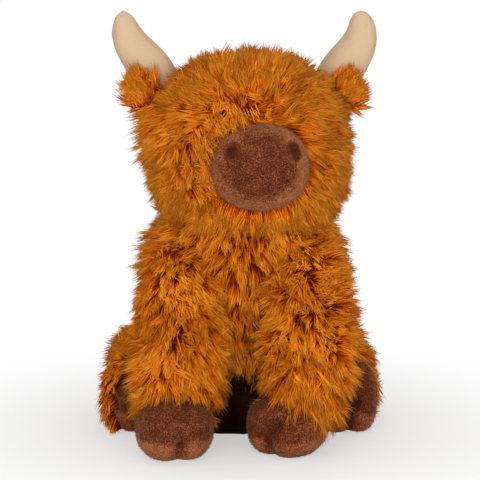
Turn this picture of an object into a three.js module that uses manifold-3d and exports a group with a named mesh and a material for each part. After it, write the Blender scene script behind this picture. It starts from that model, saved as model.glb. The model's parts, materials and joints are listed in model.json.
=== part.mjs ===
// A seated plush cow with long fur, built as a toy maker sews and stuffs it: fur covers and short plush
// covers as open shells, a filling in each, and the muzzle, horns, ears, legs, hooves and tail sewn on.
// Millimetres, +X to the viewer's right, +Y to the back, +Z up. Left and right are as seen from the front.
// The origin is the middle of the footprint, on the surface that the toy sits on.

import * as THREE from "three";
import { mergeVertices } from "three/addons/utils/BufferGeometryUtils.js";
import Module from "manifold-3d";

const wasm = await Module();
wasm.setup();

// Cloth and clearances
const clearance = 0.3; // between pieces that touch
const runningGap = 0.6; // between pieces that move past each other
const furThickness = 13; // long-pile cover: backing cloth and combed pile
const plushThickness = 3; // short plush cover with its seam allowance
const clothThickness = 2.4; // plain base and underbelly cloth
const soleFlat = 0.5; // how deep the hooves and thighs are pressed flat where they stand

// How finely the round forms are divided
const coverSides = 24;
const coverRings = 9;
const limbSides = 16;
const limbRings = 7;
const hoofSides = 12;
const hoofRings = 6;
const fillingSides = 12;
const fillingRings = 5;
const ballSides = 16;
const ballRings = 10;
const neckSides = 24;
const neckRings = 14;
const clearingSteps = 4; // turns at which a piece is cleared of what it moves past
const tailClearingSteps = 6;
const mergeDistance = 1e-4;
const squareness = 2.2; // power of a stuffed section, where 2 is an ellipse

// Torso
const torsoWidth = 134;
const torsoDepth = 124;
const torsoTop = 176;
const torsoSink = 30; // how far the round form would reach below the base
const torsoBaseSetback = 44;
const torsoWaistSetback = 26;
const torsoWaistHeight = 64;
const torsoNeckSetback = -8;
const torsoWidthShares = [0.9, 0.99, 1, 0.98, 0.92];
const torsoDepthShares = [0.84, 0.97, 1, 0.93, 0.8];
const torsoEndPower = 3.4;

// Underbelly panel, let into the torso's front between the front legs
const underbellyWidth = 50;
const underbellyTop = 47;

// Pellet pouch
const pouchWidth = 76;
const pouchDepth = 54;
const pouchHeight = 32;

// Neck
const neckHeight = 151;
const neckSetback = -6;
const neckRadius = 37;
const neckGap = 0.8; // round the neck's ball, so that its corners pass the socket's flats
const neckWedge = 5.6; // degrees that each side of the neck crease falls away

// Head
const headWidth = 132;
const headDepth = 112;
const headBottom = 134;
const headTop = 260;
const headBottomOffset = 7; // the head leans a little, its top to the viewer's left
const headTopOffset = -2;
const headSetback = -13;
const headYaw = 6; // degrees, towards the viewer's right
const headWidthShares = [0.9, 0.98, 1, 0.98, 0.88];
const headDepthShares = [0.92, 0.99, 1, 0.97, 0.84];
const headEndPower = 2.7;

// Muzzle
const muzzleWidth = 66;
const muzzleHeight = 58;
const muzzleLength = 60;
const muzzleOffset = 4; // to the viewer's right
const muzzleMiddle = 192; // height of its centre
const muzzleReach = 31; // past the front of the head's fur cover
const muzzleEndPower = 2.3;
const nostrilWidth = 8;
const nostrilHeight = 12.5;
const nostrilSpacing = 40;
const nostrilRise = 12.5; // above the muzzle's centre
const nostrilLean = 24; // degrees
const nostrilDepth = 6;
const nostrilRecess = 0.8;

// Horns
const hornWidth = 33;
const hornRootSpacing = 94;
const hornRootHeight = 226;
const hornTipSpacing = 163;
const hornTop = 289;
const hornOffset = 1.5; // of the pair from the head's middle
const hornSetback = 20; // behind the head's centre line
const hornRunShares = [0, 0.5, 0.87, 1]; // how it sweeps outward from root to tip
const hornRiseShares = [0, 0.37, 0.67, 1]; // and upward
const hornWidthShares = [1, 1, 0.86, 0.72, 0.62];
const hornEndPower = 3.4;

// Ears
const earLength = 28; // from the root outwards
const earHeight = 34;
const earThickness = 18;
const earRootInset = 10; // of the root from the head's side
const earRootHeight = 224;
const earRootRadius = 5;
const earSetback = 2.5; // behind the head's centre line
const earOffset = 1; // of the pair from the head's middle
const earRise = 40; // degrees above level
const earHeightShares = [0.8, 1, 0.98, 0.84, 0.62];
const earThicknessShares = [0.8, 1, 1, 0.9, 0.7];
const earFlap = 20; // degrees

// Front legs
const frontLegWidth = 62;
const frontLegDepth = 56;
const shoulderSpacing = 84;
const shoulderHeight = 115;
const shoulderSetback = -9;
const kneeSpacing = 84;
const kneeHeight = 70;
const kneeSetback = -43;
const ankleSpacing = 87;
const ankleHeight = 12;
const ankleSetback = -56;
const frontLegWidthShares = [0.9, 0.98, 1, 1, 0.98];
const frontLegEndPower = 2.6;
const frontLegLift = 35; // degrees

// Hooves: two toe lobes in front of one rounded block
const toeWidthShare = 0.64;
const toeSpreadShare = 0.18;
const toeLengthShare = 0.8;
const toeHeightShare = 0.8;
const toeReachShare = 0.1;
const hoofEndPower = 2.6;
const frontHoofWidth = 54;
const frontHoofLength = 62;
const frontHoofHeight = 42;
const frontHoofOffsets = [-41, 16]; // of the toe from the toy's middle, viewer's left and right
const frontHoofToes = [-99, -87];
const frontHoofTurns = [8, -26]; // degrees, the toes turned in
const hindHoofWidth = 46;
const hindHoofLength = 54;
const hindHoofHeight = 47;
const hindHoofOffsets = [-71, 74]; // of the toe, as for the front hooves
const hindHoofToe = -24;
const hindHoofTurns = [-8, 8];

// Hind legs
const hindLegWidth = 50;
const hindLegHeight = 76;
const hindLegSink = 12; // how far the round form would reach below the surface
const hindLegSpacing = 138;
const hindLegBack = 88;
const hindLegFront = 2;
const hipSpacing = 84;
const hipSetback = 66;
const hindLegWidthShares = [0.84, 1, 1, 0.92, 0.8];
const hindLegHeightShares = [0.86, 1, 0.98, 0.8, 0.64];
const hindLegEndPower = 2.6;
const hindLegSplay = 22; // degrees

// Tail
const tailWidth = 14;
const tailRootHeight = 66;
const tailDrop = 38;
const tailReach = 13; // how far it stands off behind the torso
const tuftWidth = 26;
const tuftLength = 34;
const tuftOverlap = 10; // how far the tuft is pulled up over the tail's end
const tailSwing = 30; // degrees
const tuftWidthShares = [0.6, 0.9, 1, 0.85, 0.5];

const group = new THREE.Group();
const degrees = THREE.MathUtils.degToRad;
const vector = (x, y, z) => new THREE.Vector3(x, y, z);
const acrossX = vector(1, 0, 0);
const backY = vector(0, 1, 0);
const upZ = vector(0, 0, 1);
const reach = torsoTop + headTop; // longer than the whole toy
const sides = [
  { name: "left", sign: -1, index: 0 },
  { name: "right", sign: 1, index: 1 },
];

// Finishes
function cloth(hex, roughness) {
  return new THREE.MeshStandardMaterial({ color: hex, roughness, metalness: 0 });
}

const gingerFur = () => cloth(0xab570d, 0.95);
const brownPlush = () => cloth(0x6b3520, 0.88);
const nostrilPlush = () => cloth(0x4a2012, 0.9);
const creamPlush = () => cloth(0xe2c4a4, 0.85);
const darkCloth = () => cloth(0x1d0b05, 0.9);
const fibreFilling = () => cloth(0xf1eee8, 1);
const pouchCloth = () => cloth(0xd9d2c4, 0.9);

// A closed geometry becomes a solid that can be cut and joined
function solidFrom(geometry) {
  geometry.deleteAttribute("normal");
  geometry.deleteAttribute("uv");
  const merged = mergeVertices(geometry, mergeDistance);
  return new wasm.Manifold(
    new wasm.Mesh({
      numProp: 3,
      vertProperties: new Float32Array(merged.attributes.position.array),
      triVerts: new Uint32Array(merged.index.array),
    }),
  );
}

// A finished solid becomes a named mesh of the toy
function addPiece(name, solid, material) {
  const { numProp, vertProperties, triVerts } = solid.getMesh();
  const geometry = new THREE.BufferGeometry();
  geometry.setAttribute("position", new THREE.BufferAttribute(new Float32Array(vertProperties), numProp));
  geometry.setIndex(new THREE.BufferAttribute(new Uint32Array(triVerts), 1));
  geometry.computeVertexNormals();
  const piece = new THREE.Mesh(geometry, material);
  piece.name = name;
  group.add(piece);
}

// The turn by an angle about an axis through a pivot
function turnAbout(pivot, axis, angle) {
  return new THREE.Matrix4()
    .makeTranslation(pivot)
    .multiply(new THREE.Matrix4().makeRotationAxis(axis, angle))
    .multiply(new THREE.Matrix4().makeTranslation(pivot.clone().negate()));
}

// What is left of a piece when an obstacle has passed through it over the whole range of its joint
function clearedOf(piece, obstacle, joint, steps) {
  const [least, most] = joint.range;
  let kept = piece;
  for (let step = 0; step <= steps; step++) {
    const angle = degrees(least + ((most - least) * step) / steps);
    const back = turnAbout(joint.pivot, joint.axis, -angle);
    kept = kept.subtract(obstacle.transform(back.elements));
  }
  return kept;
}

// A box from its lowest to its highest corner
function block(low, high) {
  const size = high.clone().sub(low);
  const middle = low.clone().add(high).divideScalar(2);
  const geometry = new THREE.BoxGeometry(size.x, size.y, size.z);
  geometry.translate(middle.x, middle.y, middle.z);
  return solidFrom(geometry);
}

const everythingBelow = (height) => block(vector(-reach, -reach, -reach), vector(reach, reach, height));

function ball(centre, radius, around = ballSides, along = ballRings) {
  const geometry = new THREE.SphereGeometry(radius, around, along);
  geometry.rotateX(Math.PI / 2);
  geometry.translate(centre.x, centre.y, centre.z);
  return solidFrom(geometry);
}

// A smooth curve through a list of shares, read at a place from 0 to 1
function shareAt(shares, place) {
  const points = shares.map((share, index) => new THREE.Vector2(index, share));
  return new THREE.SplineCurve(points).getPoint(place).y;
}

// A stuffed form: superellipse sections along a spine, which swell and taper by shares of its width and
// depth and close round at both ends. `grow` makes the same form larger or smaller all round.
function stuffedForm(form, grow = 0) {
  const { spine, width, depth, across, divisions } = form;
  const { widthShares = [1, 1], depthShares = widthShares } = form;
  const { endPower = 2, sectionPower = squareness } = form;
  const [around, along] = divisions;
  const curve = new THREE.CatmullRomCurve3(spine, false, "catmullrom", 0.5);
  const points = [];
  for (let ring = 0; ring <= along + 1; ring++) {
    const place = (1 - Math.cos((Math.PI * ring) / (along + 1))) / 2;
    const tangent = curve.getTangent(place);
    const centre = curve.getPoint(place).addScaledVector(tangent, grow * (2 * place - 1));
    const close = Math.max(0, 1 - Math.abs(2 * place - 1) ** endPower) ** (1 / endPower);
    const halfWidth = (width / 2 + grow) * shareAt(widthShares, place) * close;
    const halfDepth = (depth / 2 + grow) * shareAt(depthShares, place) * close;
    const side = across.clone().addScaledVector(tangent, -across.dot(tangent)).normalize();
    const deep = tangent.clone().cross(side);
    const isPole = ring === 0 || ring > along;
    for (let step = 0; step < (isPole ? 1 : around); step++) {
      const angle = (2 * Math.PI * step) / around;
      const squared = (value) => Math.sign(value) * Math.abs(value) ** (2 / sectionPower);
      const point = centre.clone();
      if (!isPole) {
        point.addScaledVector(side, squared(Math.cos(angle)) * halfWidth);
        point.addScaledVector(deep, squared(Math.sin(angle)) * halfDepth);
      }
      points.push(point);
    }
  }
  const at = (ring, step) => 1 + ring * around + (step % around);
  const last = points.length - 1;
  const faces = [];
  for (let step = 0; step < around; step++) {
    faces.push(0, at(0, step + 1), at(0, step));
    for (let ring = 0; ring < along - 1; ring++) {
      faces.push(at(ring, step), at(ring, step + 1), at(ring + 1, step + 1));
      faces.push(at(ring, step), at(ring + 1, step + 1), at(ring + 1, step));
    }
    faces.push(last, at(along - 1, step), at(along - 1, step + 1));
  }
  const geometry = new THREE.BufferGeometry().setFromPoints(points);
  geometry.setIndex(faces);
  return solidFrom(geometry);
}

// The same form divided more plainly, for a filling and the hollow that it fills
const plain = (form) => ({ ...form, divisions: [fillingSides, fillingRings] });

// Torso: a forward-leaning egg, cut flat underneath and dished at the neck
const torsoForm = {
  spine: [
    vector(0, torsoBaseSetback, -torsoSink),
    vector(0, torsoWaistSetback, torsoWaistHeight),
    vector(0, torsoNeckSetback, torsoTop),
  ],
  width: torsoWidth,
  depth: torsoDepth,
  across: acrossX,
  widthShares: torsoWidthShares,
  depthShares: torsoDepthShares,
  endPower: torsoEndPower,
  divisions: [coverSides, coverRings],
};
const torsoOutside = stuffedForm(torsoForm);
const torsoObstacle = stuffedForm(torsoForm, runningGap);
const floor = everythingBelow(0);
const belowCover = everythingBelow(clothThickness + clearance);

// The neck's crease: two shallow cones about the neck's own axis, between which the head tips
const neckPivot = vector(0, neckSetback, neckHeight);

function creaseSide(upward) {
  const fall = -upward * reach * Math.tan(degrees(neckWedge));
  const profile = [
    new THREE.Vector2(0, 0),
    new THREE.Vector2(reach, fall),
    new THREE.Vector2(reach, upward * reach),
    new THREE.Vector2(0, upward * reach),
  ];
  const geometry = new THREE.LatheGeometry(upward > 0 ? profile : profile.reverse(), coverSides);
  geometry.rotateX(Math.PI / 2);
  geometry.translate(neckPivot.x, neckPivot.y, neckPivot.z);
  return solidFrom(geometry);
}

const aboveTorso = creaseSide(1);
const belowHead = creaseSide(-1);
const neckSocket = ball(neckPivot, neckRadius + neckGap, neckSides, neckRings);

// Head
const headTurned = turnAbout(neckPivot, upZ, degrees(headYaw));
const inHead = (x, y, z) => vector(x, y, z).applyMatrix4(headTurned);
const headAcross = acrossX.clone().applyAxisAngle(upZ, degrees(headYaw));
const headBack = backY.clone().applyAxisAngle(upZ, degrees(headYaw));
const headForm = {
  spine: [
    inHead(headBottomOffset, headSetback, headBottom),
    inHead(headTopOffset, headSetback, headTop),
  ],
  width: headWidth,
  depth: headDepth,
  across: headAcross,
  widthShares: headWidthShares,
  depthShares: headDepthShares,
  endPower: headEndPower,
  divisions: [coverSides, coverRings],
};
const headSeat = stuffedForm(headForm, clearance);
const headObstacle = stuffedForm(headForm, runningGap);

// Muzzle, its two nostril patches and its filling
const muzzleFront = headSetback - headDepth / 2 - muzzleReach;
const muzzleForm = {
  spine: [
    inHead(muzzleOffset, muzzleFront, muzzleMiddle),
    inHead(muzzleOffset, muzzleFront + muzzleLength, muzzleMiddle),
  ],
  width: muzzleWidth,
  depth: muzzleHeight,
  across: headAcross,
  endPower: muzzleEndPower,
  divisions: [coverSides, limbRings],
};
let muzzleCover = stuffedForm(muzzleForm)
  .subtract(stuffedForm(plain(muzzleForm), -plushThickness))
  .subtract(headSeat);
let muzzleFilling = stuffedForm(plain(muzzleForm), -plushThickness - clearance).subtract(headSeat);
for (const { name, sign } of sides) {
  const out = (sign * nostrilSpacing) / 2;
  const radial = Math.hypot(out / (muzzleWidth / 2), nostrilRise / (muzzleHeight / 2));
  const sink = (muzzleLength / 2) * (1 - (1 - radial ** muzzleEndPower) ** (1 / muzzleEndPower));
  const onMuzzle = (depth) => inHead(muzzleOffset + out, muzzleFront + sink + depth, muzzleMiddle + nostrilRise);
  const nostrilForm = {
    spine: [onMuzzle(-nostrilDepth), onMuzzle(nostrilDepth)],
    width: nostrilWidth,
    depth: nostrilHeight,
    across: headAcross.clone().applyAxisAngle(backY, degrees(sign * nostrilLean)),
    divisions: [fillingSides, fillingRings],
  };
  const pocket = stuffedForm(nostrilForm, clearance);
  muzzleCover = muzzleCover.subtract(pocket);
  muzzleFilling = muzzleFilling.subtract(pocket);
  const patch = stuffedForm(nostrilForm).intersect(stuffedForm(muzzleForm, -nostrilRecess));
  addPiece("nostril_" + name, patch, nostrilPlush());
}
addPiece("muzzle_cover", muzzleCover, brownPlush());
addPiece("muzzle_filling", muzzleFilling, fibreFilling());

// Horns: curved cones that stand on the head
const hornForms = sides.map(({ sign }) => {
  const rootX = hornRootSpacing / 2;
  const run = (hornTipSpacing - hornRootSpacing) / 2;
  const rise = hornTop - hornRootHeight;
  const spine = hornRunShares.map((share, index) =>
    inHead(
      hornOffset + sign * (rootX + run * share),
      headSetback + hornSetback,
      hornRootHeight + rise * hornRiseShares[index],
    ),
  );
  return {
    spine,
    width: hornWidth,
    depth: hornWidth,
    across: headBack,
    widthShares: hornWidthShares,
    endPower: hornEndPower,
    divisions: [fillingSides, limbRings],
  };
});
for (const { name, index } of sides) {
  const form = hornForms[index];
  const cover = stuffedForm(form).subtract(stuffedForm(form, -plushThickness)).subtract(headSeat);
  addPiece("horn_cover_" + name, cover, creamPlush());
  const filling = stuffedForm(form, -plushThickness - clearance).subtract(headSeat);
  addPiece("horn_filling_" + name, filling, fibreFilling());
}

// Ears: fur lobes that stand out before the horns, each from a rounded root in the head's side
let headCover = stuffedForm(headForm)
  .subtract(stuffedForm(plain(headForm), -furThickness))
  .subtract(belowHead)
  .subtract(neckSocket);
for (const { name, sign, index } of sides) {
  const rise = degrees(earRise);
  const along = (distance) =>
    inHead(
      earOffset + sign * (headWidth / 2 - earRootInset + distance * Math.cos(rise)),
      headSetback + earSetback,
      earRootHeight + distance * Math.sin(rise),
    );
  const root = along(earRootRadius);
  const earForm = {
    spine: [along(0), along(earLength)],
    width: earThickness,
    depth: earHeight,
    across: headBack,
    widthShares: earThicknessShares,
    depthShares: earHeightShares,
    divisions: [hoofSides, hoofRings],
  };
  const flap = { pivot: root, axis: headBack.clone().multiplyScalar(sign), range: [0, earFlap] };
  const keepOff = headObstacle.add(stuffedForm(hornForms[index], runningGap));
  const lobe = clearedOf(stuffedForm(earForm), keepOff, flap, clearingSteps);
  addPiece("ear_" + name, lobe.add(ball(root, earRootRadius)), gingerFur());
  headCover = headCover.subtract(ball(root, earRootRadius + runningGap));
}
addPiece("head_cover", headCover, gingerFur());
const headFilling = stuffedForm(plain(headForm), -furThickness - clearance)
  .subtract(belowHead)
  .subtract(neckSocket);
addPiece("head_filling", headFilling, fibreFilling());
addPiece("neck_filling", ball(neckPivot, neckRadius, neckSides, neckRings), fibreFilling());

// A hoof: a rounded block with two toe lobes in front, so that the cleft is the crease between them
function hoofForm(width, length, height, toe, turn) {
  const placed = new THREE.Matrix4()
    .makeTranslation(toe)
    .multiply(new THREE.Matrix4().makeRotationZ(degrees(turn)));
  const across = acrossX.clone().applyAxisAngle(upZ, degrees(turn));
  const lobe = (x, front, lobeWidth, lobeLength, lobeHeight) => ({
    spine: [-soleFlat, lobeHeight].map((z) => vector(x, front + lobeLength / 2, z).applyMatrix4(placed)),
    width: lobeWidth,
    depth: lobeLength,
    across,
    endPower: hoofEndPower,
    divisions: [hoofSides, hoofRings],
  });
  const spread = width * toeSpreadShare;
  const toeSize = [width * toeWidthShare, length * toeLengthShare, height * toeHeightShare];
  const blockFront = length * toeReachShare;
  return [
    lobe(0, blockFront, width, length - blockFront, height),
    lobe(-spread, 0, ...toeSize),
    lobe(spread, 0, ...toeSize),
  ];
}

const hoofSolid = (lobes, grow = 0) =>
  lobes.map((lobe) => stuffedForm(lobe, grow)).reduce((joined, lobe) => joined.add(lobe));
const hoofHollow = (lobes, grow) => stuffedForm(plain(lobes[0]), grow);

// A leg: a fur cover sewn to the torso, its filling, and a hoof let into its lower end
function addLeg(leg) {
  const { name, form, hoof, joint, keepOff } = leg;
  const legHollow = stuffedForm(plain(form), -furThickness);
  const hollow = hoofHollow(hoof, -plushThickness);
  const cover = stuffedForm(form).subtract(legHollow).subtract(hoofSolid(hoof, clearance));
  const filling = stuffedForm(plain(form), -furThickness - clearance).subtract(hollow);
  const hoofCover = hoofSolid(hoof).subtract(hollow).subtract(legHollow);
  const hoofFilling = hoofHollow(hoof, -plushThickness - clearance);
  const parts = [
    ["cover", cover, gingerFur],
    ["filling", filling, fibreFilling],
    ["hoof_cover", hoofCover, brownPlush],
    ["hoof_filling", hoofFilling, fibreFilling],
  ];
  for (const [part, solid, finish] of parts) {
    const cleared = clearedOf(solid, keepOff, joint, clearingSteps).subtract(floor);
    addPiece(name.replace("*", part), cleared, finish());
  }
}

const thighMiddle = hindLegHeight / 2 - hindLegSink;
for (const { name, sign, index } of sides) {
  const shoulder = vector((sign * shoulderSpacing) / 2, shoulderSetback, shoulderHeight);
  addLeg({
    name: "front_leg_*_" + name,
    form: {
      spine: [
        shoulder.clone().addScaledVector(upZ, frontLegDepth / 2),
        vector((sign * kneeSpacing) / 2, kneeSetback, kneeHeight),
        vector((sign * ankleSpacing) / 2, ankleSetback, ankleHeight),
      ],
      width: frontLegWidth,
      depth: frontLegDepth,
      across: acrossX,
      widthShares: frontLegWidthShares,
      endPower: frontLegEndPower,
      divisions: [limbSides, limbRings],
    },
    hoof: hoofForm(
      frontHoofWidth,
      frontHoofLength,
      frontHoofHeight,
      vector(frontHoofOffsets[index], frontHoofToes[index], 0),
      frontHoofTurns[index],
    ),
    joint: { pivot: shoulder, axis: acrossX.clone().negate(), range: [0, frontLegLift] },
    keepOff: torsoObstacle.add(aboveTorso),
  });
  addLeg({
    name: "hind_leg_*_" + name,
    form: {
      spine: [
        vector((sign * hindLegSpacing) / 2, hindLegBack, thighMiddle),
        vector((sign * hindLegSpacing) / 2, (hindLegBack + hindLegFront) / 2, thighMiddle),
        vector(hindHoofOffsets[index], hindLegFront, hindHoofHeight / 2),
      ],
      width: hindLegWidth,
      depth: hindLegHeight,
      across: acrossX,
      widthShares: hindLegWidthShares,
      depthShares: hindLegHeightShares,
      endPower: hindLegEndPower,
      divisions: [limbSides, limbRings],
    },
    hoof: hoofForm(
      hindHoofWidth,
      hindHoofLength,
      hindHoofHeight,
      vector(hindHoofOffsets[index], hindHoofToe, 0),
      hindHoofTurns[index],
    ),
    joint: {
      pivot: vector((sign * hipSpacing) / 2, hipSetback, thighMiddle),
      axis: upZ.clone().multiplyScalar(sign),
      range: [0, hindLegSplay],
    },
    keepOff: torsoObstacle,
  });
}

// Torso cover, with the underbelly panel let in at the front, and what the torso holds
const panelWindow = (grow) =>
  block(
    vector(-underbellyWidth / 2 - grow, -reach, clothThickness + clearance - grow),
    vector(underbellyWidth / 2 + grow, torsoBaseSetback, underbellyTop + grow),
  );
const underbelly = torsoOutside.subtract(stuffedForm(torsoForm, -clothThickness));
addPiece("underbelly_panel", underbelly.intersect(panelWindow(0)), darkCloth());
const panelRecess = panelWindow(clearance).subtract(stuffedForm(torsoForm, -clothThickness - clearance));

const pouchForm = {
  spine: [vector(0, torsoBaseSetback, -soleFlat), vector(0, torsoBaseSetback, pouchHeight)],
  width: pouchWidth,
  depth: pouchDepth,
  across: acrossX,
  divisions: [limbSides, limbRings],
};
addPiece("pellet_pouch", stuffedForm(pouchForm).subtract(belowCover), pouchCloth());

// Tail: a stuffed cord with a rounded root let into the torso's back, and a tuft pulled over its end
const torsoBackAt = torsoWaistSetback + torsoDepth / 2;
const tailRoot = vector(0, torsoBackAt, tailRootHeight);
const tailEnd = tailRoot.clone().add(vector(0, tailReach, -tailDrop));
const tailForm = {
  spine: [
    tailRoot,
    tailRoot.clone().add(vector(0, tailReach, -tailWidth)),
    tailEnd,
  ],
  width: tailWidth,
  depth: tailWidth,
  across: acrossX,
  divisions: [fillingSides, fillingRings],
};
const tailJoint = { pivot: tailRoot, axis: backY, range: [-tailSwing, tailSwing] };
const tailRootBall = ball(tailRoot, tailWidth / 2);
const tail = clearedOf(stuffedForm(tailForm), torsoObstacle, tailJoint, tailClearingSteps).add(tailRootBall);
addPiece("tail", tail, gingerFur());
const tuftTop = tailEnd.clone().addScaledVector(upZ, tuftOverlap);
const tuftForm = {
  spine: [tuftTop, tuftTop.clone().addScaledVector(upZ, -tuftLength)],
  width: tuftWidth,
  depth: tuftWidth,
  across: acrossX,
  widthShares: tuftWidthShares,
  divisions: [fillingSides, fillingRings],
};
const tuft = clearedOf(
  stuffedForm(tuftForm).subtract(stuffedForm(tailForm, clearance)),
  torsoObstacle,
  tailJoint,
  tailClearingSteps,
);
addPiece("tail_tuft", tuft.subtract(floor), gingerFur());

addPiece(
  "torso_cover",
  torsoOutside
    .subtract(stuffedForm(plain(torsoForm), -furThickness))
    .subtract(aboveTorso)
    .subtract(neckSocket)
    .subtract(belowCover)
    .subtract(panelRecess)
    .subtract(ball(tailRoot, tailWidth / 2 + runningGap)),
  gingerFur(),
);
addPiece(
  "torso_filling",
  stuffedForm(plain(torsoForm), -furThickness - clearance)
    .subtract(aboveTorso)
    .subtract(neckSocket)
    .subtract(belowCover)
    .subtract(stuffedForm(pouchForm, clearance)),
  fibreFilling(),
);
const baseSlab = block(vector(-reach, -reach, 0), vector(reach, reach, clothThickness));
addPiece("base_panel", torsoOutside.intersect(baseSlab), darkCloth());

// The origin goes to the middle of the footprint
const footprint = new THREE.Box3().setFromObject(group);
const footprintMiddle = footprint.getCenter(new THREE.Vector3());
group.position.set(-footprintMiddle.x, -footprintMiddle.y, 0);

export default group;
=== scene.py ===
"""A seated plush cow with long ginger fur, dressed piece by piece in the order in which it is put together.

Metres, +X to the viewer's right, +Y to the back, +Z up. Left and right are as seen from the front."""

import json

import bpy
import numpy as np
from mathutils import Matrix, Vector

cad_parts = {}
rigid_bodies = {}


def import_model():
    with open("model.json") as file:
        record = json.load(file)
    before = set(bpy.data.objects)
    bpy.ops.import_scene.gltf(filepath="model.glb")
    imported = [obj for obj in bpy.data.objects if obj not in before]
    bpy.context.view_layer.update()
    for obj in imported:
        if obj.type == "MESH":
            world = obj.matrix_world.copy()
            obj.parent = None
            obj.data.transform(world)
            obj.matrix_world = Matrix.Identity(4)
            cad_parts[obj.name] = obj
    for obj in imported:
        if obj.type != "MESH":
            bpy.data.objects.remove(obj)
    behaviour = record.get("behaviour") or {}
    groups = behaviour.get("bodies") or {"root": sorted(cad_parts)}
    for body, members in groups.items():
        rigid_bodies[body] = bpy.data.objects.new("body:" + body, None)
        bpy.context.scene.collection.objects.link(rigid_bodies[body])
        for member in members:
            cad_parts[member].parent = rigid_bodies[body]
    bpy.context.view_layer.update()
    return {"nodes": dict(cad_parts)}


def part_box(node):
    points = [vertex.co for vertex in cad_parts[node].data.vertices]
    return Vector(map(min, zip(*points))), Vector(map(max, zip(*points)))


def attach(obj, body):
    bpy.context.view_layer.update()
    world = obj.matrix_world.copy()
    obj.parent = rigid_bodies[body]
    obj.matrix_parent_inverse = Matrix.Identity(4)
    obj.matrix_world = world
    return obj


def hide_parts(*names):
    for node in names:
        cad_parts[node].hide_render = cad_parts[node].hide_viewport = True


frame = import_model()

# Base panel and underbelly panel: cloth cut flat underneath and let into the torso's front between the front
# legs, coloured near black as painted shade for the deep shadow under the belly between the legs. Each is
# the sewn panel with its edges turned in, so its rim is slightly rounded.
panel_voxel = 0.0018
# Painted shade: near-black colours that stand in for the deep shadow between the front legs.
painted_shade_colours = ((0.010, 0.0024, 0.0010, 1), (0.026, 0.006, 0.002, 1))
panel_thread = 900.0  # threads per metre
cloud_stops = (0.35, 0.65)  # between which a cloud runs from its first to its second colour


def shader_of(name, roughness, gloss=0.2, gloss_tint=(1, 1, 1, 1), sheen=0.0, sheen_tint=(1, 1, 1, 1)):
    """A new material with its node tree, and its main shader with the even values set."""
    material = bpy.data.materials.new(name)
    material.use_nodes = True
    tree = material.node_tree
    shader = tree.nodes["Principled BSDF"]
    for socket, value in (
        ("Roughness", roughness), ("Specular IOR Level", gloss), ("Specular Tint", gloss_tint),
        ("Sheen Weight", sheen), ("Sheen Tint", sheen_tint), ("Sheen Roughness", 0.35),
    ):
        shader.inputs[socket].default_value = value
    return material, tree, shader


def joined(tree, kind, inputs=(), out=0, **values):
    """The output of a new shader node, whose inputs are linked from other outputs or set."""
    node = tree.nodes.new("ShaderNode" + kind)
    for key, value in values.items():
        setattr(node, key, value)
    for socket, source in inputs:
        if isinstance(source, bpy.types.NodeSocket):
            tree.links.new(source, node.inputs[socket])
        else:
            node.inputs[socket].default_value = source
    return node.outputs[out]


def ramp(tree, share, stops):
    """A colour ramp through (place, colour) stops."""
    colour = joined(tree, "ValToRGB", [("Fac", share)])
    points = colour.node.color_ramp.elements
    points[0].position, points[0].color = stops[0]
    points[1].position, points[1].color = stops[-1]
    for place, tint in stops[1:-1]:
        points.new(place).color = tint
    return colour


def noise(tree, scale, detail, *more):
    """A cloudy share from 0 to 1 that changes from place to place on the piece."""
    place = joined(tree, "TexCoord", out="Object")
    return joined(tree, "TexNoise", [("Vector", place), ("Scale", scale), ("Detail", detail), *more], "Fac")


def colour_and_bump(tree, shader, share, stops, height, strength, distance):
    """Gives a shader its colour, by a share through the stops, and its bump, by a height."""
    tree.links.new(ramp(tree, share, stops), shader.inputs["Base Color"])
    bump = joined(tree, "Bump", [("Height", height), ("Strength", strength), ("Distance", distance)])
    tree.links.new(bump, shader.inputs["Normal"])


def woven(name, colours, threads):
    """Plain cloth: two sets of crossing threads as bump, and a cloudy change between two colours."""
    material, tree, shader = shader_of(name, 0.85, gloss=0.05)
    waves = []
    for direction in ("X", "Y"):
        place = joined(tree, "TexCoord", out="Object")
        inputs = [("Vector", place), ("Scale", threads / 20), ("Distortion", 0.4)]
        waves.append(joined(tree, "TexWave", inputs, "Fac", bands_direction=direction))
    weave = joined(tree, "Math", enumerate(waves), operation="MAXIMUM")
    stops = list(zip(cloud_stops, colours))
    colour_and_bump(tree, shader, noise(tree, 60.0, 4.0), stops, weave, 0.4, 0.0004)
    return material


def placed(name, mesh):
    """A new object at the origin that shows a mesh."""
    piece = bpy.data.objects.new(name, mesh)
    bpy.context.scene.collection.objects.link(piece)
    return piece


def modify(piece, kind, **values):
    """Adds a modifier of that kind to a piece and sets its values."""
    modifier = piece.modifiers.new(kind.lower(), kind)
    for key, value in values.items():
        setattr(modifier, key, value)
    return modifier


def apply_modifiers(piece):
    """The piece's mesh as its modifiers leave it."""
    shape = piece.evaluated_get(bpy.context.evaluated_depsgraph_get())
    mesh = bpy.data.meshes.new_from_object(shape)
    piece.modifiers.clear()
    piece.data = mesh


def rows_of(items, name):
    """The vectors that a mesh's items hold under that name, as rows."""
    values = np.empty(len(items) * 3, np.float32)
    items.foreach_get(name, values)
    return values.reshape(-1, 3).astype(float)


def positions_of(mesh):
    """The mesh's points."""
    return rows_of(mesh.vertices, "co")


def normals_of(mesh):
    """The outward direction at each of the mesh's points."""
    return rows_of(mesh.vertex_normals, "vector")


def move_points(mesh, points):
    """Puts the mesh's points at new places."""
    mesh.vertices.foreach_set("co", points.astype(np.float32).ravel())
    mesh.update()


def unit(vectors):
    """Vectors at length one."""
    return vectors / np.maximum(np.linalg.norm(vectors, axis=-1, keepdims=True), 1e-12)


def dress(piece, body, material, replaced=()):
    """Gives a finished piece its body, slot, material and the nodes it stands for."""
    piece.data.materials.clear()
    piece.data.materials.append(material)
    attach(piece, body)
    if replaced:
        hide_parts(*replaced)
    return piece


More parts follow.
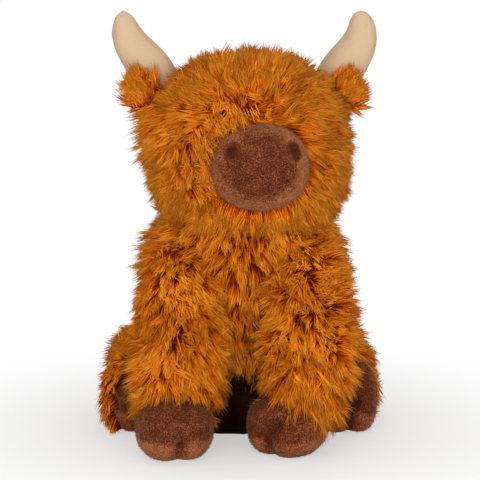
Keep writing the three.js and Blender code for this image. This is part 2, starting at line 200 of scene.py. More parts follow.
def rounded_copy(name, node, voxel, smoothing, pull_in):
    """A soft copy of a node's solid: remeshed evenly, smoothed and drawn in by a hair all round."""
    piece = placed(name, frame["nodes"][node].data.copy())
    piece.data.name = name
    modify(piece, "WELD", merge_threshold=1e-5)
    modify(piece, "REMESH", mode="VOXEL", voxel_size=voxel)
    modify(piece, "SMOOTH", factor=0.5, iterations=smoothing)
    apply_modifiers(piece)
    move_points(piece.data, positions_of(piece.data) - normals_of(piece.data) * pull_in)
    piece.data.shade_smooth()
    return piece


# The panels' cloth is coloured as painted shade.
dark_cloth = woven("dark_cloth", painted_shade_colours, panel_thread)
for node in ("base_panel", "underbelly_panel"):
    panel = rounded_copy(node + "_cloth", node, panel_voxel, 3, 0.0)
    dress(panel, "torso", dark_cloth, [node])

# Pellet pouch and fillings: a woven pouch of pellets low in the torso, and tufts of polyester fibre that
# are pushed into every cover by hand. Each filling is a lumpy body of fibre, a little slack in its cover.
filling_voxel = 0.003
filling_lump, filling_lump_size = 0.0012, 0.014
filling_slack, pouch_slack = 0.0024, 0.0004
filling_colours = ((0.72, 0.7, 0.66, 1), (0.93, 0.92, 0.89, 1))
pouch_colours = ((0.55, 0.5, 0.42, 1), (0.72, 0.68, 0.6, 1))
pouch_thread = 1100.0
sides = (("left", -1), ("right", 1))
waves_in_drift = 8


def drift(points, size, seed):
    """A smooth random vector at each point: sine waves of about that size in random directions, added up."""
    random = np.random.default_rng(seed)
    way = unit(random.normal(size=(waves_in_drift, 3))) * 2 * np.pi / size
    way *= random.uniform(0.6, 1.4, (waves_in_drift, 1))
    phase = random.uniform(0, 2 * np.pi, (waves_in_drift, 3))
    swing = random.normal(size=(waves_in_drift, 3))
    waves = np.sin((points @ way.T)[:, :, None] + phase) * swing
    return waves.sum(1) * np.sqrt(2 / waves_in_drift)


def fibre():
    """Loose white fibre: tangled strands as bump over a soft cloud."""
    material, tree, shader = shader_of("fibre_filling", 0.95)
    tangle = noise(tree, 500.0, 6.0, ("Distortion", 3.0))
    stops = list(zip(cloud_stops, filling_colours))
    colour_and_bump(tree, shader, noise(tree, 90.0, 3.0), stops, tangle, 0.6, 0.001)
    return material


fibre_filling = fibre()
filling_bodies = {
    "torso_filling": "torso",
    "neck_filling": "neck",
    "head_filling": "head",
    "muzzle_filling": "head",
}
for side, _ in sides:
    filling_bodies["horn_filling_" + side] = "head"
    for leg in ("front_leg", "hind_leg"):
        for part in ("_filling_", "_hoof_filling_"):
            filling_bodies[leg + part + side] = leg + "_" + side
for seed, (node, body) in enumerate(filling_bodies.items()):
    filling = rounded_copy(node.replace("filling", "fibre"), node, filling_voxel, 4, filling_slack)
    points = positions_of(filling.data)
    lumps = np.clip(drift(points, filling_lump_size, seed)[:, :1], -1, 1) * filling_lump
    move_points(filling.data, points + normals_of(filling.data) * lumps)
    dress(filling, body, fibre_filling, [node])

pouch = rounded_copy("pellet_pouch_cloth", "pellet_pouch", filling_voxel, 2, pouch_slack)
pouch_cloth = woven("pouch_cloth", pouch_colours, pouch_thread)
dress(pouch, "torso", pouch_cloth, ["pellet_pouch"])

# Torso cover: long-pile fur fabric round a forward-leaning egg that is flat underneath. Its backing cloth
# lies a pile's depth inside the combed surface, and the pile's strands are rooted in it lock by lock.
toy_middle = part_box("neck_filling")[0].lerp(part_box("neck_filling")[1], 0.5)
neck_setback = -0.006
middle_back = toy_middle.y - neck_setback
neck_pivot = np.array([0, middle_back + neck_setback, toy_middle.z])
neck_wedge = np.radians(5.6)
pile_depth = 0.0105  # from the combed surface down to the backing cloth
squareness = 2.2
backing_grid = (72, 44)  # points around and along
backing_height, crease_room = 0.0032, 0.004  # of the backing over the ground, and under the crease
torso_form = dict(
    spine=[(0, middle_back + 0.044, -0.03), (0, middle_back + 0.026, 0.064), (0, middle_back - 0.008, 0.176)],
    width=0.134, width_shares=(0.9, 0.99, 1, 0.98, 0.92),
    depth=0.124, depth_shares=(0.84, 0.97, 1, 0.93, 0.8), end_power=3.4,
)
backing_colours = ((0.40, 0.075, 0.004, 1), (0.54, 0.11, 0.005, 1))
fur_places = (0.1, 0.5, 0.97)  # where a strand has its root's, its middle's and its tip's colour
dark_fur = ((0.50, 0.058, 0.002, 1), (0.44, 0.07, 0.002, 1), (0.46, 0.105, 0.003, 1))
light_fur = ((0.82, 0.135, 0.004, 1), (0.88, 0.215, 0.004, 1), (0.98, 0.41, 0.034, 1))
strand_places = np.array([0, 0.55, 1])  # along a strand, from root to tip
strand_widths = np.array([1.5, 1.05])  # at the root and half way, of the strand
strand_width, strand_corners = 0.001, 3
lock_strands, lock_radius = 12, 0.002
lock_gather = 0.72  # how much of its radius a lock loses up to its tip
way_patch, lift_patch, tone_patch = 0.024, 0.016, 0.035  # in which neighbouring locks agree
way_change, curl, hang = 0.22, 0.3, 0.1  # of a lock's way, of its tip to a side and downwards
lift_change, tip_change = 6, 8  # degrees
lock_lengths, strand_lengths, strand_sizes = (0.78, 1.08), (0.82, 1.04), (0.7, 1.15)
patch_tone, lock_tone_change, strand_tone_change = 0.1, 0.24, 0.25
strand_wander = 0.05
slices_of_form = 32
far = 1.0  # past every piece


def along(values, place):
    """A smooth curve through the values, read at places from 0 to 1: a cubic whose slope at each value is
    half the step between its neighbours, with the end values carried straight on."""
    values = np.asarray(values, float)
    ends = [2 * values[:1] - values[1:2], values, 2 * values[-1:] - values[-2:-1]]
    values = np.concatenate(ends)
    step = np.clip(place, 0, 1) * (len(values) - 3)
    first = np.minimum(step.astype(int), len(values) - 4)
    part = (step - first).reshape(step.shape + (1,) * (values.ndim - 1))
    a, b, c, d = (values[first + k] for k in range(4))
    bend = (2 * a - 5 * b + 4 * c - d) * part**2 + (3 * b - a - 3 * c + d) * part**3
    return b + 0.5 * ((c - a) * part + bend)


def sections_of(form, place, grow):
    """The sections of a stuffed form at places along its spine: middle, sideways, deep and ahead
    directions, and half sizes, which close round at both ends by a superellipse in the place."""
    spine, near = form["spine"], 1e-3
    ahead = unit(along(spine, np.minimum(place + near, 1)) - along(spine, np.maximum(place - near, 0)))
    middle = along(spine, place) + ahead * (grow * (2 * place - 1))[..., None]
    power = form.get("end_power", 2)
    close = np.clip(1 - np.abs(2 * place - 1) ** power, 0, 1) ** (1 / power)
    width_shares = form.get("width_shares", (1, 1))
    depth_shares = form.get("depth_shares", width_shares)
    half_width = (form["width"] / 2 + grow) * along(width_shares, place) * close
    half_depth = (form["depth"] / 2 + grow) * along(depth_shares, place) * close
    across = np.array(form.get("across", (1, 0, 0)), float)
    side = unit(across - ahead * (ahead @ across)[..., None])
    return middle, side, np.cross(ahead, side), ahead, half_width, half_depth


def between_rings(rings, around):
    """Quads between rings of points that follow one another, each ring closed round."""
    here = np.arange(rings - 1)[:, None] * around + np.arange(around)
    after = here + 1 - around * (np.arange(around) == around - 1)
    return np.stack([here, after, after + around, here + around], -1).reshape(-1, 4)


def form_surface(form, grow, around, rings):
    """Points and faces of a stuffed form, made larger or smaller all round by grow: rings of superellipse
    sections, closer together towards the ends, and a pole point at each end."""
    place = (1 - np.cos(np.pi * np.arange(rings + 2) / (rings + 1))) / 2
    middle, side, deep, _, half_width, half_depth = sections_of(form, place, grow)
    turn = 2 * np.pi * np.arange(around) / around
    run, rise = np.cos(turn), np.sin(turn)
    run = np.sign(run) * np.abs(run) ** (2 / squareness)
    rise = np.sign(rise) * np.abs(rise) ** (2 / squareness)
    rows = (
        middle[:, None]
        + side[:, None] * (half_width[:, None] * run)[..., None]
        + deep[:, None] * (half_depth[:, None] * rise)[..., None]
    )[1:-1]
    points = np.concatenate([middle[:1], rows.reshape(-1, 3), middle[-1:]])
    ring = np.arange(around)
    after, last_ring = (ring + 1) % around, 1 + (rings - 1) * around
    first_cap = np.stack([ring * 0, 1 + after, 1 + ring], -1)
    last_cap = np.stack([ring * 0 + len(points) - 1, last_ring + ring, last_ring + after], -1)
    return points, [*(1 + between_rings(rings, around)).tolist(), *first_cap.tolist(), *last_cap.tolist()]


def new_piece(name, points, faces):
    """A new object at the origin with that mesh, shaded smooth."""
    mesh = bpy.data.meshes.new(name)
    mesh.from_pydata(points.tolist(), [], faces)
    mesh.validate()
    mesh.shade_smooth()
    return placed(name, mesh)


def inside(form, points, grow=0.0):
    """Which points lie in a stuffed form: in any of its slices, inside that slice's superellipse."""
    place = (np.arange(slices_of_form) + 0.5) / slices_of_form
    middle, side, deep, ahead, half_width, half_depth = sections_of(form, place, grow)
    spacing = np.linalg.norm(np.diff(middle, axis=0), axis=1).max()
    away = points[:, None] - middle
    across = np.abs((away * side).sum(-1)) / np.maximum(half_width, 1e-6)
    down = np.abs((away * deep).sum(-1)) / np.maximum(half_depth, 1e-6)
    in_slice = np.abs((away * ahead).sum(-1)) < spacing
    return (in_slice & (across**squareness + down**squareness < 1)).any(1)


def in_box(points, x=(-far, far), y=(-far, far), z=(-far, far), out=(-far, far)):
    """Which points lie between the limits along each axis, and those of how far out they are to a side."""
    low, high = np.transpose([x, y, z, out])
    values = np.column_stack([points, np.abs(points[:, 0])])
    return ((values > low) & (values < high)).all(1)


def roots_on(piece, count, seed, keep=None):
    """Root points spread evenly over a piece's faces, with their outward directions: as many as asked,
    where keep allows them, which is a function of the place or the limits of a box."""
    mesh = piece.data
    mesh.calc_loop_triangles()
    corners = np.empty(len(mesh.loop_triangles) * 3, np.int32)
    mesh.loop_triangles.foreach_get("vertices", corners)
    corners = corners.reshape(-1, 3)
    points, normals = positions_of(mesh), normals_of(mesh)
    a, b, c = (points[corners[:, k]] for k in range(3))
    area = np.linalg.norm(np.cross(b - a, c - a), axis=1)
    centres = (a + b + c) / 3
    if keep:
        area = area * (keep(centres) if callable(keep) else in_box(centres, **keep))
    random = np.random.default_rng(seed)
    picked = random.choice(len(corners), count, p=area / area.sum())
    weights = random.dirichlet((1, 1, 1), count)[:, :, None]
    roots = (points[corners[picked]] * weights).sum(1)
    return roots, unit((normals[corners[picked]] * weights).sum(1))


def strand_mesh(name, lines, widths, tones):
    """A mesh of strands. Each follows a line of three points as a three-sided tube that ends in a sharp
    tip and is closed at its root. Its map holds its tone across and the place along it upwards."""
    count, rings = len(lines), len(strand_widths)
    ahead = unit(lines[:, -1] - lines[:, 0])
    helper = np.where(np.abs(ahead[:, 2:3]) < 0.8, [[0, 0, 1.0]], [[1.0, 0, 0]])
    side = unit(np.cross(ahead, helper))
    deep = np.cross(ahead, side)
    turn = 2 * np.pi * np.arange(strand_corners) / strand_corners
    ring = side[:, None] * np.cos(turn)[:, None] + deep[:, None] * np.sin(turn)[:, None]
    spread = ring[:, None] * (widths[:, None] * strand_widths / 2)[:, :, None, None]
    tubes = (lines[:, :rings, None] + spread).reshape(count, -1, 3)
    points = np.concatenate([tubes, lines[:, -1:]], 1)
    tip = rings * strand_corners
    corners, lengths, ups, outs = [2, 1, 0], [3], [0, 0, 0], [0, 1, 0]
    for k in range(strand_corners):
        after = (k + 1) % strand_corners
        corners += [k, after, after + strand_corners, k + strand_corners]
        corners += [k + strand_corners, after + strand_corners, tip]
        ups += [0, 0, 1, 1, 1, 1, 2]
        outs += [k, k + 1, k + 1, k, k, k + 1, k + 0.5]
        lengths += [4, 3]
    per_strand, faces, loops = points.shape[1], count * len(lengths), count * len(corners)
    mesh = bpy.data.meshes.new(name)
    mesh.vertices.add(count * per_strand)
    mesh.vertices.foreach_set("co", points.astype(np.float32).ravel())
    mesh.loops.add(loops)
    starts = np.arange(count)[:, None]
    mesh.loops.foreach_set("vertex_index", (starts * per_strand + corners).astype(np.int32).ravel())
    mesh.polygons.add(faces)
    begins = np.concatenate([[0], np.cumsum(lengths)[:-1]])
    mesh.polygons.foreach_set("loop_start", (starts * len(corners) + begins).astype(np.int32).ravel())
    mesh.polygons.foreach_set("use_smooth", np.ones(faces, bool))
    layer = mesh.uv_layers.new(name="OFBake")
    across = np.clip(tones, 0, 1)[:, None] * 0.94 + 0.02 + np.array(outs) * 0.01
    upward = strand_places[ups] * 0.98 + 0.01
    places = np.stack([across, np.broadcast_to(upward, across.shape)], -1)
    layer.uv.foreach_set("vector", places.astype(np.float32).ravel())
    mesh.update(calc_edges=True)
    return placed(name, mesh)


def fur_material():
    """Ginger fur: each strand runs from a dark root to a light tip, between a dark and a light tone."""
    material, tree, shader = shader_of("ginger_fur", 0.5, gloss=0.08, gloss_tint=(1, 0.55, 0.2, 1))
    place = joined(tree, "UVMap", uv_map="OFBake")
    tone, up = (joined(tree, "SeparateXYZ", [("Vector", place)], axis) for axis in ("X", "Y"))
    dark, light = (ramp(tree, up, list(zip(fur_places, colours))) for colours in (dark_fur, light_fur))
    colour = joined(tree, "Mix", [("Factor", tone), (6, dark), (7, light)], 2, data_type="RGBA")
    tree.links.new(colour, shader.inputs["Base Color"])
    return material


def nothing(points):
    """No change at any point."""
    return np.zeros(len(points))


def grow_fur(
    name, body, backing, count, comb, keep, seed, length=0.02, lay=(24, 60), stray=0.3,
    raised=nothing, painted_light=nothing,
):
    """Fur on a backing, in locks. A lock leans from the backing by the first angle of lay at its root and by
    the second at its tip, towards where comb points, bends to one side and hangs a little. Where raised
    gives an angle it stands up by that more, and where painted_light gives a share its tone is lighter, as
    painted light. Its strands start round its root and draw together along it. No strand goes through the
    ground."""
    random = np.random.default_rng(seed)
    locks = count // lock_strands
    roots, outward = roots_on(backing, locks, seed, keep)
    way = comb(roots) if callable(comb) else np.array(comb, float)
    wanted = way + drift(roots, way_patch, seed + 1) * stray
    wanted += random.normal(size=(locks, 3)) * way_change
    wanted = unit(wanted - outward * (wanted * outward).sum(1, keepdims=True))
    sideways = np.cross(outward, wanted)
    lengths = length * random.uniform(*lock_lengths, (locks, 1))
    lift = drift(roots, lift_patch, seed + 3)[:, :1] * lift_change
    lift = lift + random.normal(size=(locks, 1)) * lift_change - raised(roots)[:, None]
    first = np.radians(lay[0] + lift)
    second = np.radians(lay[1] + lift + random.normal(size=(locks, 1)) * tip_change)
    start = outward * np.cos(first) + wanted * np.sin(first)
    finish = outward * np.cos(second) + wanted * np.sin(second)
    finish = finish + sideways * random.normal(size=(locks, 1)) * curl + [0, 0, -hang]
    # Painted light: the lock's tone is lighter where painted_light gives a share.
    lock_tone = 0.5 + painted_light(roots) + drift(roots, tone_patch, seed + 2)[:, 0] * patch_tone
    lock_tone = lock_tone + random.normal(size=locks) * lock_tone_change

    def each(values):
        return np.repeat(values, lock_strands, axis=0)

    strands = locks * lock_strands
    offset = random.normal(size=(strands, 2)) * lock_radius
    spread = each(wanted) * offset[:, :1] + each(sideways) * offset[:, 1:]
    wander = random.normal(size=(strands, 3)) * strand_wander
    reach = each(lengths) * random.uniform(*strand_lengths, (strands, 1))
    s = strand_places[None, :, None]
    lines = (
        each(roots)[:, None]
        + spread[:, None] * (1 - lock_gather * s)
        + (each(start)[:, None] * (s - s**2 / 2) + each(finish)[:, None] * s**2 / 2) * reach[:, None]
        + wander[:, None] * reach[:, None] * s**1.5
    )
    lines[..., 2] = np.maximum(lines[..., 2], strand_width)
    tones = each(lock_tone) + random.normal(size=strands) * strand_tone_change
    widths = strand_width * random.uniform(*strand_sizes, strands)
    return dress(strand_mesh(name, lines, widths, tones), body, ginger_fur)


def keep_above(points, height):
    """Points no lower than a height."""
    points[:, 2] = np.maximum(points[:, 2], height)
    return points


def crease(points):
    """How far above the shoulder's side of the neck crease points lie: the crease is a shallow cone."""
    out = np.hypot(points[:, 0] - neck_pivot[0], points[:, 1] - neck_pivot[1])
    return points[:, 2] - neck_pivot[2] + out * np.tan(neck_wedge)


def cloth_backing(name, body, points, faces, replaced=()):
    """A piece of the fur's backing cloth."""
    return dress(new_piece(name, points, faces), body, backing_cloth, replaced)


ginger_fur = fur_material()
backing_cloth = woven("fur_backing", backing_colours, panel_thread)
points, faces = form_surface(torso_form, -pile_depth, *backing_grid)
points = keep_above(points, backing_height)
points[:, 2] -= np.maximum(crease(points) + crease_room, 0)
torso_backing = cloth_backing("torso_cover_backing", "torso", points, faces, ["torso_cover"])

# Neck seam: the seam where the head is sewn to the torso is a band of the same fur, which turns with the
# neck. Its pile hangs straight down and closes the crease under the chin.
neck_radius = 0.0376
neck_band = np.radians((-36, 10))  # from its lower to its upper edge, round the neck's middle
band_thickness = 0.0012
band_rows, band_around = 12, 72
neck_strands = 3600


def smooth_step(values, none, full):
    """0 up to the first limit, 1 from the second on, whichever is higher, and a smooth change between."""
    share = np.clip((values - none) / (full - none), 0, 1)
    return share * share * (3 - 2 * share)


def chest_painted_light(points):
    """Painted light: the pile's tone is lighter at the front of the neck and the chest, where the head shades
    them.
    """
    middle = smooth_step(np.abs(points[:, 0]), 0.055, 0.03) * (points[:, 1] < neck_pivot[1])
    return 0.2 * middle * smooth_step(points[:, 2], 0.08, 0.11)


rise = np.linspace(*neck_band, band_rows)
rise = np.append(rise, rise[::-1])
radius = np.repeat([neck_radius, neck_radius - band_thickness], band_rows)
turn = np.linspace(0, 2 * np.pi, band_around, endpoint=False)
out = (radius * np.cos(rise))[:, None]
rings = np.stack([out * np.cos(turn), out * np.sin(turn), (radius * np.sin(rise))[:, None] + turn * 0], -1)
quads = between_rings(len(rings) + 1, band_around) % (len(rings) * band_around)
band = cloth_backing("neck_seam_band", "neck", (rings + neck_pivot).reshape(-1, 3), quads.tolist())
grow_fur(
    "neck_fur", "neck", band, neck_strands, (0, 0, -1.0),
    lambda p: np.linalg.norm(p - neck_pivot, axis=1) > neck_radius - band_thickness / 2,
    15, length=0.018, lay=(10, 50), painted_light=chest_painted_light,
)

# Torso's fur: the pile falls from the neck in locks down to the base, outwards over the shoulders, where
# longer locks stand out over the front legs, and in front over the underbelly panel's edge.
torso_parting = middle_back + 0.02  # between the front and the back
torso_hem = 0.012
panel_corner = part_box("underbelly_panel")[1]
torso_front_strands, torso_back_strands = 15000, 15000
shoulder_strands, belly_strands = 3600, 900


def torso_comb(points):
    """The torso's pile falls from the neck and down, outwards over the shoulders, and to the back behind."""
    away = points - neck_pivot
    away[:, 2] *= 0.4
    shoulders = np.clip((points[:, 2:] - 0.06) / 0.05, 0, 1) * np.clip(points[:, :1] / 0.05, -0.9, 1.5)
    return unit(away) * 0.5 + shoulders * [1.0, 0, 0] + [0, 0, -1.0]


def torso_raised(points):
    """The pile stands out more at the shoulders, most of all at the viewer's right, and under the chin."""
    high = smooth_step(points[:, 2] + 0.6 * np.maximum(points[:, 0], 0), 0.09, 0.12)
    aside = (24 + 6 * np.sign(points[:, 0])) * smooth_step(np.abs(points[:, 0]), 0.025, 0.05)
    return high * aside + 24 * smooth_step(crease(points), -0.016, -0.004) * (np.abs(points[:, 0]) < 0.04)


def under_head(points):
    """Below the neck crease."""
    return crease(points) < -0.001


def torso_front(points):
    """The part of the torso that is seen from the front, but for the underbelly panel."""
    panel = in_box(
        points, (-panel_corner.x, panel_corner.x), (-far, middle_back + 0.03), (-far, panel_corner.z)
    )
    return in_box(points, y=(-far, torso_parting), z=(torso_hem, far)) & ~panel & under_head(points)


def torso_back(points):
    """The rest of the torso."""
    return in_box(points, y=(torso_parting, far), z=(torso_hem, far)) & under_head(points)


shoulder_tops = dict(z=(0.112, far), out=(0.026, far))
over_panel = dict(x=(-0.02, 0.02), y=(-far, middle_back), z=(panel_corner.z - 0.001, panel_corner.z + 0.012))
for name, keep, seed, strands in (
    ("torso_fur_front", torso_front, 11, torso_front_strands),
    ("torso_fur_back", torso_back, 12, torso_back_strands),
):
    grow_fur(
        name, "torso", torso_backing, strands, torso_comb, keep, seed,
        raised=torso_raised, painted_light=chest_painted_light,
    )
grow_fur(
    "torso_fur_shoulders", "torso", torso_backing, shoulder_strands,
    lambda p: np.sign(p[:, :1]) * [1.0, 0, 0] + [0, 0, -0.5],
    lambda p: in_box(p, **shoulder_tops) & under_head(p), 13, length=0.026, lay=(16, 46),
)
grow_fur(
    "torso_fur_belly", "torso", torso_backing, belly_strands, (0, 0, -1.0), over_panel, 14,
    length=0.021, lay=(8, 90),
)

# Head cover: the same fur round a rounded block that is turned a little to the viewer's right. The pile
# falls from the front of the crown over the face, cheeks and nape, and parts round the muzzle.
head_yaw = np.radians(6)
head_setback = -0.013
head_bottom, head_bottom_offset = 0.134, 0.007
head_top, head_top_offset = 0.26, -0.002
parting_x, parting_height = -0.005, 0.229  # on the forehead, over the muzzle
muzzle_middle = 0.192
face_strands, crown_strands = 17000, 15000


def turned(x, y, angle):
    """The two parts of a direction after a turn."""
    return x * np.cos(angle) - y * np.sin(angle), x * np.sin(angle) + y * np.cos(angle)


def in_head(x, y, z):
    """A place in the head, after its turn about the neck."""
    x, y = turned(x - neck_pivot[0], y - neck_setback, head_yaw)
    return np.array([x, y + neck_pivot[1], z])


head_across = np.array([np.cos(head_yaw), np.sin(head_yaw), 0])
head_ahead = np.array([np.sin(head_yaw), -np.cos(head_yaw), 0])
head_form = dict(
    spine=[
        in_head(head_bottom_offset, head_setback, head_bottom),
        in_head(head_top_offset, head_setback, head_top),
    ],
    width=0.132, width_shares=(0.9, 0.98, 1, 0.98, 0.88),
    depth=0.112, depth_shares=(0.92, 0.99, 1, 0.97, 0.84), across=head_across, end_power=2.7,
)
muzzle_reach, muzzle_length, muzzle_x = 0.031, 0.06, 0.004
muzzle_front = head_setback - head_form["depth"] / 2 - muzzle_reach
muzzle_tip = in_head(muzzle_x, muzzle_front, muzzle_middle)
muzzle_form = dict(
    spine=[muzzle_tip, in_head(muzzle_x, muzzle_front + muzzle_length, muzzle_middle)],
    width=0.066, depth=0.058, across=head_across, end_power=2.3,
)
muzzle_centre = np.array(muzzle_form["spine"]).mean(0)
horn_root_spacing, horn_tip_spacing = 0.094, 0.163
horn_root_height, horn_top = 0.226, 0.289
horn_setback, horn_offset = 0.02, 0.0015
horn_run_shares = {"left": (0, 0.46, 0.86, 1), "right": (0.08, 0.64, 0.96, 0.94)}
horn_rise_shares = (0, 0.37, 0.67, 1)
horn_forms = {}
for side, sign in sides:
    spine = [
        in_head(
            horn_offset + sign * (horn_root_spacing + (horn_tip_spacing - horn_root_spacing) * run) / 2,
            head_setback + horn_setback,
            horn_root_height + (horn_top - horn_root_height) * rise,
        )
        for run, rise in zip(horn_run_shares[side], horn_rise_shares)
    ]
    horn_forms[side] = dict(
        spine=spine, width=0.033, width_shares=(1, 1, 0.86, 0.72, 0.62),
        depth=0.033, across=-head_ahead, end_power=2.7,
    )

points, faces = form_surface(head_form, -pile_depth, *backing_grid)
out = np.hypot(*(points[:, :2] - neck_pivot[:2]).T)
over_crease = points[:, 2] - neck_pivot[2] - out * np.tan(neck_wedge)
points[:, 2] += np.maximum(crease_room - over_crease, 0)
head_backing = cloth_backing("head_cover_backing", "head", points, faces, ["head_cover"])
parting = in_head(parting_x, head_setback - head_form["depth"] / 2 + pile_depth, parting_height)


def aside_of(points):
    """How far points lie from the neck to the viewer's right, as the turned head has it."""
    return (points - neck_pivot) @ head_across


def ahead_of(points):
    """How far points lie before the neck, as the turned head has it."""
    return (points - neck_pivot) @ head_ahead


def head_comb(points):
    """The pile runs away from a parting on the forehead, up over the crown, out over the cheeks and down
    the nape, and away from the muzzle close to it, but over the muzzle's edge at its upper left."""
    from_parting = unit(points - parting)
    from_muzzle = points - muzzle_centre
    from_muzzle -= head_ahead * (from_muzzle @ head_ahead)[:, None]
    distance = np.linalg.norm(from_muzzle, axis=1, keepdims=True)
    radial = from_muzzle / np.maximum(distance, 1e-9)
    upper_left = smooth_step((radial @ (head_across * -0.8 + [0, 0, 0.6]))[:, None], 0.2, 0.95)
    radial[:, 2] = np.minimum(radial[:, 2], 0.4)
    near = np.exp(-(np.maximum(distance - 0.03, 0) / 0.02) ** 2)
    behind = smooth_step(-ahead_of(points)[:, None], -0.01, 0.04)
    below = 1 - smooth_step(points[:, 2:], parting_height - 0.03, parting_height)
    hang = (0.5 * below + 1.5 * behind) * [0, 0, -1.0]
    return from_parting + hang + radial * near * (1.2 - 2.0 * upper_left)


def head_raised(points):
    """The pile stands up more on the crown, below the ears, under the chin and low on the cheeks, and lies
    flat where it parts."""
    aside = aside_of(points) / (head_form["width"] / 2)
    low = 1 - smooth_step(points[:, 2], neck_pivot[2] + 0.015, neck_pivot[2] + 0.035)
    cheeks = (16 + 8 * low) * smooth_step(-aside, 0.45, 0.8) + (2 + 52 * low) * smooth_step(aside, 0.45, 0.8)
    at_ears = np.exp(-(((points[:, 2] - 0.218) / 0.016) ** 2)) * smooth_step(np.abs(aside), 0.6, 0.85)
    at_parting = np.exp(-((np.linalg.norm(points - parting, axis=1) / 0.016) ** 2))
    crown = 16 * smooth_step(points[:, 2], head_top - 0.035, head_top - 0.015)
    chin = (1 - smooth_step(points[:, 2], 0.158, 0.172)) * smooth_step(np.abs(aside), 0.7, 0.4)
    return crown + cheeks + 14 * at_ears - 14 * at_parting + 24 * chin


def head_painted_light(points):
    """Painted light under the muzzle, in its shade, where the pile's tone is lighter, and a lighter tone on
    the cheek at the viewer's right.
    """
    aside = aside_of(points) / (head_form["width"] / 2)
    chin = (1 - smooth_step(points[:, 2], 0.165, 0.18)) * smooth_step(np.abs(aside), 0.75, 0.45)
    return 0.35 * chin + 0.12 * smooth_step(aside, 0.2, 0.6)


def off_head_parts(points):
    """Where the head has fur: not under the muzzle or the horns, nor in the neck crease."""
    covered = inside(muzzle_form, points) | (points[:, 2] < neck_pivot[2] + 0.002)
    for form in horn_forms.values():
        covered |= inside(form, points, -0.001)
    return ~covered


def is_face(points):
    """The front half of the head."""
    return ahead_of(points) > 0.01


for name, seed, strands, part in (
    ("head_fur_face_left", 21, face_strands, lambda p: is_face(p) & (aside_of(p) < muzzle_x)),
    ("head_fur_face_right", 22, face_strands, lambda p: is_face(p) & (aside_of(p) >= muzzle_x)),
    ("head_fur_crown_and_nape", 23, crown_strands, lambda p: ~is_face(p)),
):
    grow_fur(
        name, "head", head_backing, strands, head_comb, lambda p: part(p) & off_head_parts(p), seed,
        lay=(30, 66), raised=head_raised, painted_light=head_painted_light,
    )

# Longer locks of the head: beside the muzzle, at the viewer's left, they stand out and fall over its edge,
# before each horn they stand up round its root, and under the ear at the viewer's left they stand out.
forelock_strands, ruff_strands, temple_strands = 2000, 2400, 900


def forelock_keep(points):
    """A patch of the face beside the muzzle's upper left."""
    away = points - muzzle_centre
    x, z = away @ head_across, away[:, 2]
    distance, direction = np.hypot(x, z), np.degrees(np.arctan2(z, x)) % 360
    beside = (distance > 0.03) & (distance < 0.044) & (direction > 100) & (direction < 205)
    return beside & is_face(points) & off_head_parts(points)


def ruff_keep(points):
    """A patch of the head's front before each horn's root."""
    aside = np.abs(aside_of(points))
    before = (aside > 0.036) & (aside < 0.066) & (ahead_of(points) > -0.01)
    return before & in_box(points, z=(0.216, 0.236)) & off_head_parts(points)


def ruff_comb(points):
    """Forwards and up before the horn, and out over the ear's root beside it."""
    beside = smooth_step(np.abs(aside_of(points)), 0.046, 0.058)[:, None]
    out = np.sign(points[:, :1]) * (0.5 + 0.6 * beside) * [1, 0, 0]
    return out + head_ahead * 0.3 + (0.7 - 0.45 * beside) * [0, 0, 1]


def temple_keep(points):
    """A patch of the head's side under the ear at the viewer's left."""
    return (aside_of(points) < -0.038) & in_box(points, y=(-far, middle_back + 0.02), z=(0.2, 0.226))


for name, strands, comb, keep, seed, length, lay in (
    (
        "forelock_fur", forelock_strands, lambda p: unit(muzzle_centre - p) * 1.2 + [0, 0, -0.35],
        forelock_keep, 25, 0.03, (14, 58),
    ),
    ("horn_ruff_fur", ruff_strands, ruff_comb, ruff_keep, 27, 0.018, (26, 60)),
    ("temple_fur", temple_strands, (-0.7, -0.3, -0.5), temple_keep, 26, 0.028, (8, 44)),
):
    grow_fur(name, "head", head_backing, strands, comb, keep, seed, length, lay, 0.2)

# Muzzle: a puffed pad of short brown plush, sewn into the face, with two nostril patches of darker plush.
# Its colour is lighter round the rim as a painted sheen, and darker in the middle.
plush_colours = ((0.050, 0.011, 0.003, 1), (0.14, 0.032, 0.009, 1), (0.40, 0.135, 0.058, 1))
nostril_colours = ((0.046, 0.009, 0.002, 1), (0.10, 0.020, 0.004, 1), (0.22, 0.055, 0.018, 1))
plush_stops, grain_scale, patch_scale = (0.1, 0.4, 0.85), 1150.0, 170.0
plush_allowance = 0.0012  # by which a pad is drawn in before it is puffed up
nostril_width, nostril_height = 0.0078, 0.0125
nostril_spacing, nostril_rise = 0.04, 0.0125
nostril_lean = np.radians(24)
nostril_dimple = 0.0035
muzzle_grid, patch_rings, patch_around = (96, 60), 11, 40
puff_cap, horn_puff_cap = 0.002, 0.0015  # how far a cover is puffed up at most
patch_sink, patch_bulge, patch_back = 0.0018, 0.0006, 0.0026
muzzle_naps, nostril_naps = 9000, 500
nap_length, nap_width, nap_root = 0.0013, 0.0006, 0.0003


